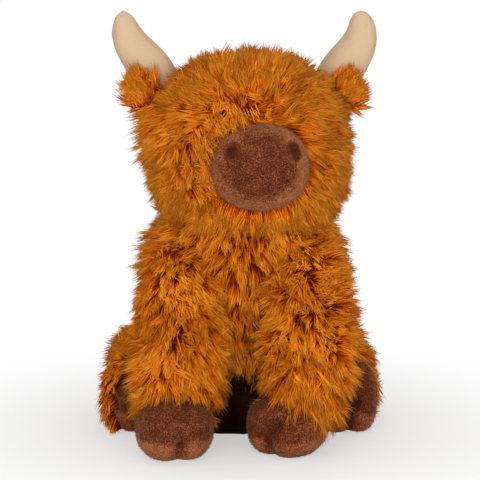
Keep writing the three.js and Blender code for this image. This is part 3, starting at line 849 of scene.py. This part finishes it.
def plush(name, colours, sheen_tint, contrast):
    """Short plush: a fine grain of fibres as colour and bump, over soft patches, and lighter or darker by
    the stored share of tone and painted light, which paints sheen, highlights and shade. Contrast is how
    far the grain and the patches change the colour."""
    material, tree, shader = shader_of(name, 0.75, gloss=0.06, sheen=0.16, sheen_tint=sheen_tint)
    grain = noise(tree, grain_scale, 2.0, ("Roughness", 0.6))
    speckle = joined(tree, "MapRange", [("Value", grain), ("From Min", 0.35), ("From Max", 0.65)])
    both = joined(tree, "Mix", [("Factor", 0.5), (2, noise(tree, patch_scale, 3.0)), (3, speckle)])
    spread = [(0, both), (1, contrast), (2, 0.25 - contrast / 2)]
    spread = joined(tree, "Math", spread, operation="MULTIPLY_ADD")
    # The stored share holds painted light: sheen, highlights and shade painted into the colour, with tone.
    tone_and_painted_light = joined(tree, "Attribute", out="Fac", attribute_name="tone_and_painted_light")
    share = joined(tree, "Math", [(0, tone_and_painted_light), (1, 0.5), (2, spread)], operation="MULTIPLY_ADD")
    colour_and_bump(tree, shader, share, list(zip(plush_stops, colours)), grain, 0.5, 0.0005)
    return material


def paint_nap_tone_and_light(piece, shade, speckle=0.0):
    """Stores a share of tone and painted light at each point, which paints sheen, highlights and shade
    into the colour: 0 is dark, 1 is light. Speckle is how much single fibres, of four points each, differ
    from those around them."""
    values = shade(positions_of(piece.data))
    if speckle:
        fibres = len(values) // 4
        values = values + np.repeat(np.random.default_rng(fibres).normal(size=fibres), 4) * speckle
    values = np.clip(values, 0, 1).astype(np.float32)
    piece.data.attributes.new("tone_and_painted_light", "FLOAT", "POINT").data.foreach_set("value", values)


def grow_nap(name, body, pad, count, way, seed, material, keep=None):
    """Short fibres on a plush pad: thin three-sided spikes that lean the way the pad's nap was combed."""
    random = np.random.default_rng(seed)
    roots, outward = roots_on(pad, count, seed, keep)
    lean = np.asarray(way, float) + drift(roots, 0.02, seed + 1) * 0.5
    lean = lean + random.normal(size=(count, 3)) * 0.35
    lean -= outward * (lean * outward).sum(1, keepdims=True)
    ahead = unit(outward * 0.75 + lean * 0.6)
    side = unit(np.cross(ahead, random.normal(size=(count, 3))))
    deep = np.cross(ahead, side)
    turn = 2 * np.pi * np.arange(3) / 3
    ring = side[:, None] * np.cos(turn)[:, None] + deep[:, None] * np.sin(turn)[:, None]
    base = (roots - outward * nap_root)[:, None] + ring * nap_width / 2
    tips = roots + ahead * nap_length * random.uniform(0.6, 1.1, (count, 1))
    points = np.concatenate([base, tips[:, None]], 1)
    points[..., 2] = np.maximum(points[..., 2], 0.0001)
    faces = np.array([[0, 1, 3], [1, 2, 3], [2, 0, 3], [2, 1, 0]])
    faces = (np.arange(count)[:, None, None] * 4 + faces).reshape(-1, 3)
    return dress(new_piece(name, points.reshape(-1, 3), faces.tolist()), body, material)


def puff(piece, cap):
    """Blows a closed cover up as its filling does: an even copy is cloth with pressure inside for twenty
    frames, no point of it moved further than the cap, and the piece is drawn onto that copy."""
    swollen = placed("swollen", piece.data.copy())
    modify(swollen, "REMESH", mode="VOXEL", voxel_size=0.004)
    apply_modifiers(swollen)
    before = positions_of(swollen.data)
    cloth = modify(swollen, "CLOTH")
    cloth.settings.use_pressure = True
    cloth.settings.uniform_pressure_force = 4
    cloth.settings.effector_weights.gravity = 0
    for step in range(1, 21):
        bpy.context.scene.frame_set(step)
    apply_modifiers(swollen)
    bpy.context.scene.frame_set(1)
    moved = positions_of(swollen.data) - before
    far_moved = np.linalg.norm(moved, axis=1, keepdims=True)
    move_points(swollen.data, before + moved * np.minimum(1, cap / np.maximum(far_moved, 1e-9)))
    modify(swollen, "SUBSURF", levels=1, render_levels=1)
    apply_modifiers(swollen)
    modify(piece, "SHRINKWRAP", target=swollen)
    apply_modifiers(piece)
    bpy.data.objects.remove(swollen)
    piece.data.shade_smooth()


def on_muzzle(x, z):
    """How far behind the muzzle's front its surface lies, beside its middle by x and above it by z."""
    across, up = np.abs(x / (muzzle_form["width"] / 2)), np.abs(z / (muzzle_form["depth"] / 2))
    radial = (across**squareness + up**squareness) ** (1 / squareness)
    power = muzzle_form["end_power"]
    return muzzle_length / 2 * (1 - (1 - np.clip(radial, 0, 1) ** power) ** (1 / power))


def nostril_place(points, sign):
    """Where points lie in a nostril's oval: 1 at its edge, seen along the muzzle."""
    away = points - muzzle_tip
    x, z = away @ head_across - sign * nostril_spacing / 2, away[:, 2] - nostril_rise
    x, z = turned(x, z, -sign * nostril_lean)
    return np.hypot(x / (nostril_width / 2), z / (nostril_height / 2))


def muzzle_painted_sheen(points):
    """Painted sheen on the muzzle: dark in its middle and light round its rim, most of all below and to the
    viewer's right, with a painted highlight in a ring round each nostril."""
    away = points - muzzle_tip
    x, z = away @ head_across + 0.002, away[:, 2] - 0.003
    rim = smooth_step(np.hypot(x / 0.033, z / 0.029), 0.55, 0.95)
    lower_right = 0.86 + 0.16 * np.cos(np.arctan2(-z, x) - 0.35)
    ring = sum(np.exp(-(((nostril_place(points, sign) - 1.35) / 0.3) ** 2)) for sign in (-1, 1))
    return 0.12 + 0.92 * rim * lower_right + 0.18 * ring


brown_plush = plush("brown_plush", plush_colours, (0.9, 0.6, 0.45, 1), 1.1)
nostril_plush = plush("nostril_plush", nostril_colours, (0.8, 0.5, 0.4, 1), 0.8)
muzzle = new_piece("muzzle_pad", *form_surface(muzzle_form, -plush_allowance, *muzzle_grid))
puff(muzzle, puff_cap)
points = positions_of(muzzle.data)
at_front = (points - muzzle_centre) @ head_ahead > 0
for sign in (-1, 1):
    dimple = np.clip(1.25 - nostril_place(points, sign), 0, 1)[:, None] * at_front[:, None]
    points = points - head_ahead * nostril_dimple * dimple
move_points(muzzle.data, points)
dress(muzzle, "head", brown_plush, ["muzzle_cover"])
muzzle_nap = grow_nap("muzzle_nap", "head", muzzle, muzzle_naps, (0, 0, 0), 31, brown_plush)
# Painted sheen: the muzzle and its nap are lighter round the rim and round each nostril.
paint_nap_tone_and_light(muzzle, muzzle_painted_sheen)
paint_nap_tone_and_light(muzzle_nap, muzzle_painted_sheen, 0.26)

# A nostril patch is an oval plate of rings round a middle point, bulged in front, with a plain back.
radius = np.linspace(0, 1, patch_rings + 1)[1:, None]
turn = np.linspace(0, 2 * np.pi, patch_around, endpoint=False)
oval_x, oval_z = radius * np.cos(turn) * nostril_width / 2, radius * np.sin(turn) * nostril_height / 2
crown_share = np.append(1 - radius**2 + turn * 0, 1)
ring = np.arange(patch_around)
after = (ring + 1) % patch_around
middle = patch_rings * patch_around
plate, fan = between_rings(patch_rings, patch_around), np.stack([ring * 0 + middle, ring, after], -1)
front_edge = middle - patch_around
back_edge = front_edge + middle + 1
patch_faces = [
    *np.roll(plate[:, ::-1], 1, axis=1).tolist(),
    *fan.tolist(),
    *(np.roll(plate, -1, axis=1) + middle + 1).tolist(),
    *(fan[:, ::-1] + middle + 1).tolist(),
    *np.stack([front_edge + ring, back_edge + ring, back_edge + after, front_edge + after], -1).tolist(),
]
for side, sign in sides:
    x, z = turned(oval_x, oval_z, sign * nostril_lean)
    x = np.append(x, 0) + sign * nostril_spacing / 2
    z = np.append(z, 0) + nostril_rise
    depth = on_muzzle(x, z)
    place = muzzle_tip + x[:, None] * head_across
    place[:, 2] += z
    front = place - head_ahead * (depth + patch_sink - patch_bulge * crown_share)[:, None]
    back = place - head_ahead * (depth + patch_back)[:, None]
    patch = new_piece("nostril_patch_" + side, np.concatenate([front, back]), patch_faces)
    dress(patch, "head", nostril_plush, ["nostril_" + side])
    patch_nap = grow_nap(
        "nostril_nap_" + side, "head", patch, nostril_naps, (0, 0, 0), 35 + sign,
        nostril_plush, lambda p: (p - muzzle_centre) @ head_ahead > muzzle_length / 2 - 0.02,
    )
    for piece in (patch, patch_nap):
        paint_nap_tone_and_light(piece, lambda p: nostril_place(p, sign) ** 3 * 0.9 - 0.05)

# Horns: curved cones of cream plush, filled firmly and sewn to the head above the ears. Their colour has
# a painted highlight along the middle as it is seen from the front, and painted shade at the sides.
cream_colours = ((0.39, 0.24, 0.155, 1), (0.51, 0.34, 0.205, 1), (0.61, 0.445, 0.30, 1))
horn_allowance, horn_grid, horn_places = 0.001, (64, 60), np.linspace(0, 1, 40)
cream_plush = plush("cream_plush", cream_colours, (1, 0.85, 0.75, 1), 0.2)


def horn_painted_shading(points, form):
    """Painted highlight where points lie before or behind the horn's spine, painted shade the further they
    are beside it.
    """
    gap = points[:, None] - along(form["spine"], horn_places)
    nearest = gap[np.arange(len(points)), (gap**2).sum(-1).argmin(1)]
    return 0.85 - 0.6 * smooth_step(np.abs(nearest @ head_across) / 0.016, 0.2, 1.0)


for side, form in horn_forms.items():
    horn = new_piece("horn_plush_" + side, *form_surface(form, -horn_allowance, *horn_grid))
    puff(horn, horn_puff_cap)
    dress(horn, "head", cream_plush, ["horn_cover_" + side])
    # Painted highlight along the horn's middle and painted shade at its sides.
    paint_nap_tone_and_light(horn, lambda p: horn_painted_shading(p, form))

# Ears: fur lobes that stand out and up before the horns, each sewn into the head's side at a rounded
# root. They are cut from the same fur cloth, back and front.
ear_length, ear_height, ear_thickness = 0.028, 0.034, 0.018
ear_root_inset, ear_root_height = 0.01, 0.224
ear_setback, ear_offset = 0.0025, 0.001
ear_rise = np.radians(40)
ear_pile, ear_grid = 0.0078, (40, 24)
ear_strands = 3600


def ear_end(points):
    """How near points lie to the ear's outer end, whose fur stands up: 0 at its root, 1 at its tip."""
    return smooth_step(np.abs(aside_of(points)), 0.062, 0.076)


for side, sign in sides:
    root = in_head(
        ear_offset + sign * (head_form["width"] / 2 - ear_root_inset),
        head_setback + ear_setback,
        ear_root_height,
    )
    outwards = head_across * sign * np.cos(ear_rise) + np.array([0, 0, np.sin(ear_rise)])
    ear_form = dict(
        spine=[root, root + outwards * ear_length], width=ear_thickness, width_shares=(0.8, 1, 1, 0.9, 0.7),
        depth=ear_height, depth_shares=(0.8, 1, 0.98, 0.84, 0.62), across=-head_ahead,
    )
    points, faces = form_surface(ear_form, -ear_pile, *ear_grid)
    ear = cloth_backing("ear_backing_" + side, "ear_" + side, points, faces, ["ear_" + side])
    grow_fur(
        "ear_fur_" + side, "ear_" + side, ear, ear_strands,
        lambda p: outwards + ear_end(p)[:, None] * [0, 0, 1.8 - 0.3 * sign] - [0, 0, 0.15],
        lambda p: ~inside(head_form, p, -0.012) & (p[:, 2] > 0.222), 41 + sign,
        length=0.0175 - sign * 0.0015, lay=(58, 90), stray=0.2, raised=lambda p: ear_end(p) * (35 - sign * 5),
    )

# Front legs: fur tubes sewn under the shoulders that come forward and down, each with a rounded hoof of
# brown plush let into its end. A hoof has a seam round its sole and a cleft between its two toes.
shoulder_spacing, knee_spacing, ankle_spacing = 0.084, 0.084, 0.087
front_leg_depth = 0.056
shoulder = (middle_back - 0.009, 0.115)
knee = (middle_back - 0.043, 0.07)
ankle = (middle_back - 0.056, 0.012)
leg_strands = 14500
fringe_strands, fringe_length = {"left": 1000, "right": 1500}, {"left": 0.03, "right": 0.031}
inner_fringe_strands = 900
front_hoof_size = (0.054, 0.062, 0.042)
front_hooves = {
    "left": dict(
        size=front_hoof_size, toe=(-0.041, middle_back - 0.099), turn=8,
        band=0.75, seam=0.41, cleft=0.001, cleft_top=0.5, end_power=2.5,
    ),
    "right": dict(
        size=front_hoof_size, toe=(0.016, middle_back - 0.087), turn=-26,
        band=0.5, seam=0.35, cleft=-0.0035, cleft_top=0.8, end_power=2.5,
    ),
}
cleft_crease, cleft_dip = 0.0042, 0.006  # how deep the crease is, and the hollow round it
cleft_lean = 0.8  # to the viewer's right above the seam
sole_seam = 0.0006
hoof_grid, leg_grid, hoof_naps = (160, 56), (48, 36), 5500


def hoof_pad(kind, side, hoof, seed):
    """A hoof's cover: a rounded block pressed flat underneath. Its two toes are parted by a hollow with a
    sharp crease in it, deepest at the seam, and the seam of its sole is a narrow dip all round. Its colour
    is dark above the seam and lighter below it, with painted sheen at its sides and painted shade in the
    cleft and the seam."""
    name, body, node = f"{kind}_hoof_plush_{side}", f"{kind}_leg_{side}", f"{kind}_leg_hoof_cover_{side}"
    width, length, height = hoof["size"]
    angle = np.radians(hoof["turn"])
    across = np.array([np.cos(angle), np.sin(angle), 0])
    ahead = np.array([np.sin(angle), -np.cos(angle), 0])
    centre = np.array([*hoof["toe"], 0]) - ahead * length / 2
    spine = [centre + [0, 0, -0.004], centre + [0, 0, height]]
    form = dict(spine=spine, width=width, depth=length, across=across, end_power=hoof["end_power"])

    def parts(points):
        """How deep points lie in the cleft's hollow, in its crease and in the seam, from 0 to 1."""
        away = points - centre
        y, z = away @ ahead, points[:, 2]
        x = away @ across - hoof["cleft"] - cleft_lean * np.maximum(z - height * hoof["seam"], 0)
        in_front = smooth_step(y / length, 0.12, 0.4)
        low = 1 - smooth_step(z / height, hoof["cleft_top"] - 0.25, hoof["cleft_top"])
        hollow = np.exp(-((x / (width * 0.16)) ** 2)) * in_front * low
        crease = np.exp(-((np.abs(x) / 0.0025) ** 1.5)) * in_front * low
        rise = height * hoof["seam"] - 0.004 * np.abs(x) / width + 0.002 * hollow
        seam = np.exp(-(((z - rise) / 0.0012) ** 2)) * smooth_step(y / length, -0.1, 0.2)
        return hollow, crease, seam

    def hoof_tone_and_painted_light(points):
        """Dark above the seam and lighter below it, with painted sheen at the sides and painted shade in the
        cleft's crease and hollow and in the seam.
        """
        hollow, crease, seam = parts(points)
        edge = height * hoof["seam"] + drift(points, 0.02, seed)[:, 0] * 0.0015
        below = 1 - smooth_step(points[:, 2], edge - 0.005, edge + 0.002)
        beside = smooth_step(np.abs((points - centre) @ across) / width, 0.3, 0.5)
        # Painted sheen at the sides; painted shade in the crease, the seam and the hollow.
        return 0.12 + hoof["band"] * below + 0.3 * beside - 0.8 * crease - 0.2 * seam - 0.12 * hollow

    pad = new_piece(name, *form_surface(form, -plush_allowance, *hoof_grid))
    puff(pad, puff_cap)
    fibres = bpy.data.objects[node.replace("cover", "fibre")]
    for piece, seam_dip, deeper, lowest in ((pad, sole_seam, 1, 0.0003), (fibres, 0, 1.3, -far)):
        points = positions_of(piece.data)
        hollow, crease, seam = parts(points)
        dent = (hollow * cleft_dip + crease * cleft_crease) * deeper
        outward = unit((points - centre) * [1, 1, 0])
        points = points - ahead * dent[:, None] - outward * (seam * seam_dip)[:, None]
        move_points(piece.data, keep_above(points, lowest))
    dress(pad, body, brown_plush, [node])
    nap = grow_nap(name + "_nap", body, pad, hoof_naps, (0, 0, -0.4), seed, brown_plush)
    paint_nap_tone_and_light(pad, hoof_tone_and_painted_light)
    paint_nap_tone_and_light(nap, hoof_tone_and_painted_light, 0.18)
    return pad


def leg_cover(kind, side, form):
    """A leg's backing cloth, in which its furs are rooted."""
    points, faces = form_surface(form, -pile_depth, *leg_grid)
    return cloth_backing(
        f"{kind}_fur_{side}_backing", f"{kind}_{side}", keep_above(points, 0.001), faces,
        [f"{kind}_cover_{side}"],
    )


def leg_comb(points):
    """Down the leg and out to its outer side, on the viewer's left most of all over the hoof."""
    sign = np.sign(points[:, :1])
    aside = np.clip((np.abs(points[:, :1]) - knee_spacing / 2) / 0.02, -0.45 + 0.15 * sign, 1)
    low = 1 - smooth_step(points[:, 2:], 0.03, 0.075)
    return [0.06, -0.25, -1.0] + sign * aside * (0.35 + 0.25 * low * (1 - sign)) * [1.0, 0, 0]


def leg_raised(points):
    """The pile stands out more on the leg's outer side, high on the viewer's right and low on the left."""
    sign = np.sign(points[:, 0])
    high = smooth_step(points[:, 2], 0.055, 0.085)
    outer = smooth_step(np.abs(points[:, 0]), shoulder_spacing / 2, knee_spacing * 0.7)
    return outer * (high * (18 + 30 * sign) + (1 - high) * 14 * (1 - sign))


def off_torso(points):
    """Where a leg has fur: not in the torso."""
    return ~inside(torso_form, points, -0.006)


for side, sign in sides:
    hoof_pad("front", side, front_hooves[side], 51 + sign)
    spine = [
        (sign * shoulder_spacing / 2, shoulder[0], shoulder[1] + front_leg_depth / 2),
        (sign * knee_spacing / 2, *knee),
        (sign * ankle_spacing / 2, *ankle),
    ]
    backing = leg_cover("front_leg", side, dict(
        spine=spine, width=0.062, width_shares=(0.9, 0.98, 1, 1, 0.98), depth=front_leg_depth, end_power=2.6,
    ))
    grow_fur(
        "front_leg_fur_" + side, "front_leg_" + side, backing, leg_strands, leg_comb,
        lambda p: off_torso(p) & (p[:, 2] > 0.014), 61 + sign, raised=leg_raised,
    )
    ankle_x = sign * ankle_spacing / 2
    grow_fur(
        "front_leg_fringe_" + side, "front_leg_" + side, backing, fringe_strands[side], leg_comb,
        dict(x=(ankle_x - 0.014, ankle_x + 0.01), y=(-far, ankle[0] + 0.002), z=(0.034, 0.058)),
        65 + sign, length=fringe_length[side], lay=(6, 72),
    )

# On the right leg, whose hoof points inwards, more of the fringe falls over the hoof's inner side.
grow_fur(
    "front_leg_fringe_inner", "front_leg_right", backing, inner_fringe_strands, (-0.05, -0.7, -1.0),
    dict(x=(-far, 0.032), y=(-far, ankle[0] + 0.006), z=(0.03, 0.054)),
    69, length=0.028, lay=(44, 84), stray=0.2,
)

# Hind legs: fur thighs that lie along the torso's sides, their plush hooves pointing forward. Longer locks
# at the thigh's front edge, on its brow and along its hem fall over the hoof.
hind_leg_spacing = 0.138
hind_leg_height, hind_leg_sink = 0.076, 0.012
thigh_middle = hind_leg_height / 2 - hind_leg_sink
hind_hoof_offsets = {"left": -0.071, "right": 0.074}
hind_hoof_size = (0.046, 0.054, 0.047)
hind_hoof_toe = middle_back - 0.024
hind_back, hind_front = middle_back + 0.088, middle_back + 0.002
fringe_aside = {"left": 0.1, "right": -0.6}
hind_strands, thigh_fringe, thigh_brow, thigh_hem, thigh_edge = 11000, 1200, 900, 600, 1500
low_edge = dict(out=(0.078, far), y=(-far, hind_front + 0.036), z=(-far, 0.034))  # next to the hoof
brow = dict(out=(0.05, far), y=(-far, hind_front + 0.022), z=(0.03, far))  # the thigh's top in front
hem = dict(out=(0.078, far), y=(-far, hind_front + 0.022), z=(-far, 0.02))  # close to the ground


def thigh_comb(points):
    """Back along the thigh, down and out to the side, and only outwards close to the ground."""
    high = smooth_step(points[:, 2:], 0.008, 0.03)
    outwards = np.sign(points[:, :1]) * [1, 0, 0]
    near_ground = (1 - high) * (outwards * 0.8 + [0, -0.3, 0.1])
    return outwards * 0.3 + [0, 0.15, 0] + high * [0, 0, -0.9] + near_ground


def thigh_raised(points):
    """The pile lies flatter on the thigh at the viewer's right."""
    return (-9 * smooth_step(points[:, 2], 0.03, 0.05) - 8) * (1 + np.sign(points[:, 0]))


def thigh_keep(points):
    """Where the thigh has fur: not in the torso, nor underneath, nor beside the hoof."""
    return off_torso(points) & in_box(points, y=(hind_front + 0.012, far), z=(0.0015, far))


def hoof_edge_keep(points):
    """The left hoof's back edge, where the leg's fur hangs over it, on its top and its outer side."""
    back = (hind_hoof_toe + 0.012, far)
    outer = in_box(points, (-far, -0.084), back, (0.002, far))
    return outer | in_box(points, (-far, -0.062), back, (0.036, far))


def hoof_edge_comb(points):
    """Forward and down over the hoof's edge, and more outwards on its side."""
    return [-0.3, -0.9, -0.5] + smooth_step(points[:, 2:], 0.034, 0.026) * [-0.1, 0.4, -0.2]


for side, sign in sides:
    hoof = hoof_pad("hind", side, dict(
        size=hind_hoof_size, toe=(hind_hoof_offsets[side], hind_hoof_toe), turn=sign * 8,
        band=0.5, seam=0.35, cleft=0.0, cleft_top=0.7, end_power=3.4,
    ), 71 + sign)
    spine = [
        (sign * hind_leg_spacing / 2, hind_back, thigh_middle),
        (sign * hind_leg_spacing / 2, (hind_back + hind_front) / 2, thigh_middle),
        (hind_hoof_offsets[side], hind_front, hind_hoof_size[2] / 2),
    ]
    backing = leg_cover("hind_leg", side, dict(
        spine=spine, width=0.05, width_shares=(0.84, 1, 1, 0.92, 0.8),
        depth=hind_leg_height, depth_shares=(0.86, 1, 0.98, 0.8, 0.64), end_power=2.6,
    ))
    furs = [
        ("fur", backing, hind_strands, thigh_comb, thigh_keep, 81 + sign, 0.02, (24, 60), 0.3, thigh_raised),
        (
            "fringe", backing, thigh_fringe, (fringe_aside[side], -1.0, -0.8), low_edge, 85 + sign,
            0.030 - sign * 0.004, (40, 88),
        ),
        ("brow", backing, thigh_brow, (sign * 0.1, -1.0, -0.25), brow, 88 + sign, 0.028, (30, 84)),
        ("edge", hoof, thigh_edge, hoof_edge_comb, hoof_edge_keep, 96, 0.018, (30, 80)),
        (
            "hem", backing, thigh_hem, (sign * 0.15, -1.0, -0.5), hem, 92 + sign,
            0.038 - sign * 0.004, (34, 92), 0.2,
        ),
    ]
    for fur, rooted_in, strands, comb, keep, *rest in furs:
        if (fur, side) != ("edge", "right"):
            grow_fur(
                f"hind_leg_{fur}_{side}", "hind_leg_" + side, rooted_in, strands, comb, keep, *rest
            )

# Tail: a short cord of the same fur, sewn to the torso's back, from which it hangs, with a tuft of longer
# pile pulled over its end.
tail_width, tuft_width, tuft_length = 0.014, 0.026, 0.034
tail_grid, tail_height = (24, 20), 0.004
tail_root = np.array([0, middle_back + 0.026 + torso_form["depth"] / 2, 0.066])
tail_end = tail_root + [0, 0.013, -0.038]
tail_spine = [tail_root, tail_root + [0, 0.013, -tail_width], tail_end]
tail_form = dict(spine=tail_spine, width=tail_width, depth=tail_width)
tuft_top = tail_end + [0, 0, 0.01]
tuft_spine = [tuft_top, tuft_top - [0, 0, tuft_length]]
tuft_form = dict(spine=tuft_spine, width=tuft_width, depth=tuft_width, width_shares=(0.6, 0.9, 1, 0.85, 0.5))
for name, node, form, depth, strands, length in (
    ("tail_fur", "tail", tail_form, 0.003, 1200, 0.012),
    ("tail_tuft_fur", "tail_tuft", tuft_form, 0.007, 1800, 0.02),
):
    points, faces = form_surface(form, -depth, *tail_grid)
    backing = cloth_backing(name + "_backing", "tail", keep_above(points, tail_height), faces, [node])
    grow_fur(
        name, "tail", backing, strands, (0, 0.1, -1.0), lambda p: ~inside(torso_form, p, -0.004), 91,
        length=length, lay=(30, 75),
    )

# Studio: a pale floor, a white surround, three soft lamps, and the camera, which stands as far off and as
# high as the photograph's looks to have stood.
view_scale = 0.667e-3  # metres per pixel of the photograph at the toy's middle
picture_size, film_width = 480, 36
camera_distance = 1.4
camera_tilt = np.radians(10)
aim = np.array([-0.002, middle_back - 0.03, 0.1373])
floor_corners = np.array([[-4, -4, 0], [4, -4, 0], [4, 4, 0], [-4, 4, 0]], float)
floor_fade = [("From Min", 0.1), ("From Max", 0.28), ("To Min", 0.5)]
lamps = (
    ("key_lamp", (-0.5, -1.7, 0.42), 1.1, 16.0),
    ("fill_lamp", (0.8, -1.6, 0.12), 1.1, 15.5),
    ("top_lamp", (0.1, 0.3, 1.7), 1.2, 6.0),
)


def floor_material():
    """A pale floor that keeps a soft shadow near the toy and fades to plain white further out."""
    material = bpy.data.materials.new("pale_floor")
    material.use_nodes = True
    tree = material.node_tree
    tree.nodes.clear()
    matt = joined(tree, "BsdfDiffuse", [("Color", (0.86, 0.86, 0.86, 1))])
    glow = joined(tree, "Emission", [("Color", (1, 1, 1, 1)), ("Strength", 1.0)])
    place = joined(tree, "TexCoord", out="Object")
    distance = joined(tree, "VectorMath", [(0, place)], "Value", operation="LENGTH")
    fade = joined(tree, "MapRange", [("Value", distance), *floor_fade], interpolation_type="SMOOTHSTEP")
    seen = joined(tree, "LightPath", out="Is Camera Ray")
    share = joined(tree, "Math", [(0, seen), (1, fade)], operation="MULTIPLY")
    mix = joined(tree, "MixShader", [(0, share), (1, matt), (2, glow)])
    tree.links.new(mix, tree.nodes.new("ShaderNodeOutputMaterial").inputs["Surface"])
    return material


def aimed(thing, place):
    """Puts a lamp or camera at a place and turns it to the toy."""
    thing.location = place
    thing.rotation_euler = Vector(aim - place).to_track_quat("-Z", "Y").to_euler()


floor = new_piece("floor", floor_corners, [[0, 1, 2, 3]])
floor.data.materials.append(floor_material())
for name, place, size, power in lamps:
    light = bpy.data.lights.new(name, "AREA")
    light.size, light.energy = size, power
    aimed(placed(name, light), place)

world = bpy.data.worlds.new("surround")
bpy.context.scene.world = world
world.use_nodes = True
tree = world.node_tree
rays = enumerate(joined(tree, "LightPath", out=ray) for ray in ("Is Camera Ray", "Is Glossy Ray"))
seen = joined(tree, "Math", rays, operation="MAXIMUM")
level = joined(tree, "MapRange", [("Value", seen), ("To Min", 0.6), ("To Max", 1.0)])
tree.links.new(level, tree.nodes["Background"].inputs["Strength"])
tree.nodes["Background"].inputs["Color"].default_value = (1, 1, 1, 1)

lens = bpy.data.cameras.new("camera")
lens.sensor_width = film_width
lens.lens = film_width * camera_distance / (view_scale * picture_size)
camera = placed("camera", lens)
aimed(camera, aim + camera_distance * np.array([0, -np.cos(camera_tilt), np.sin(camera_tilt)]))
bpy.context.scene.camera = camera
bpy.context.scene.view_settings.view_transform = "Standard"
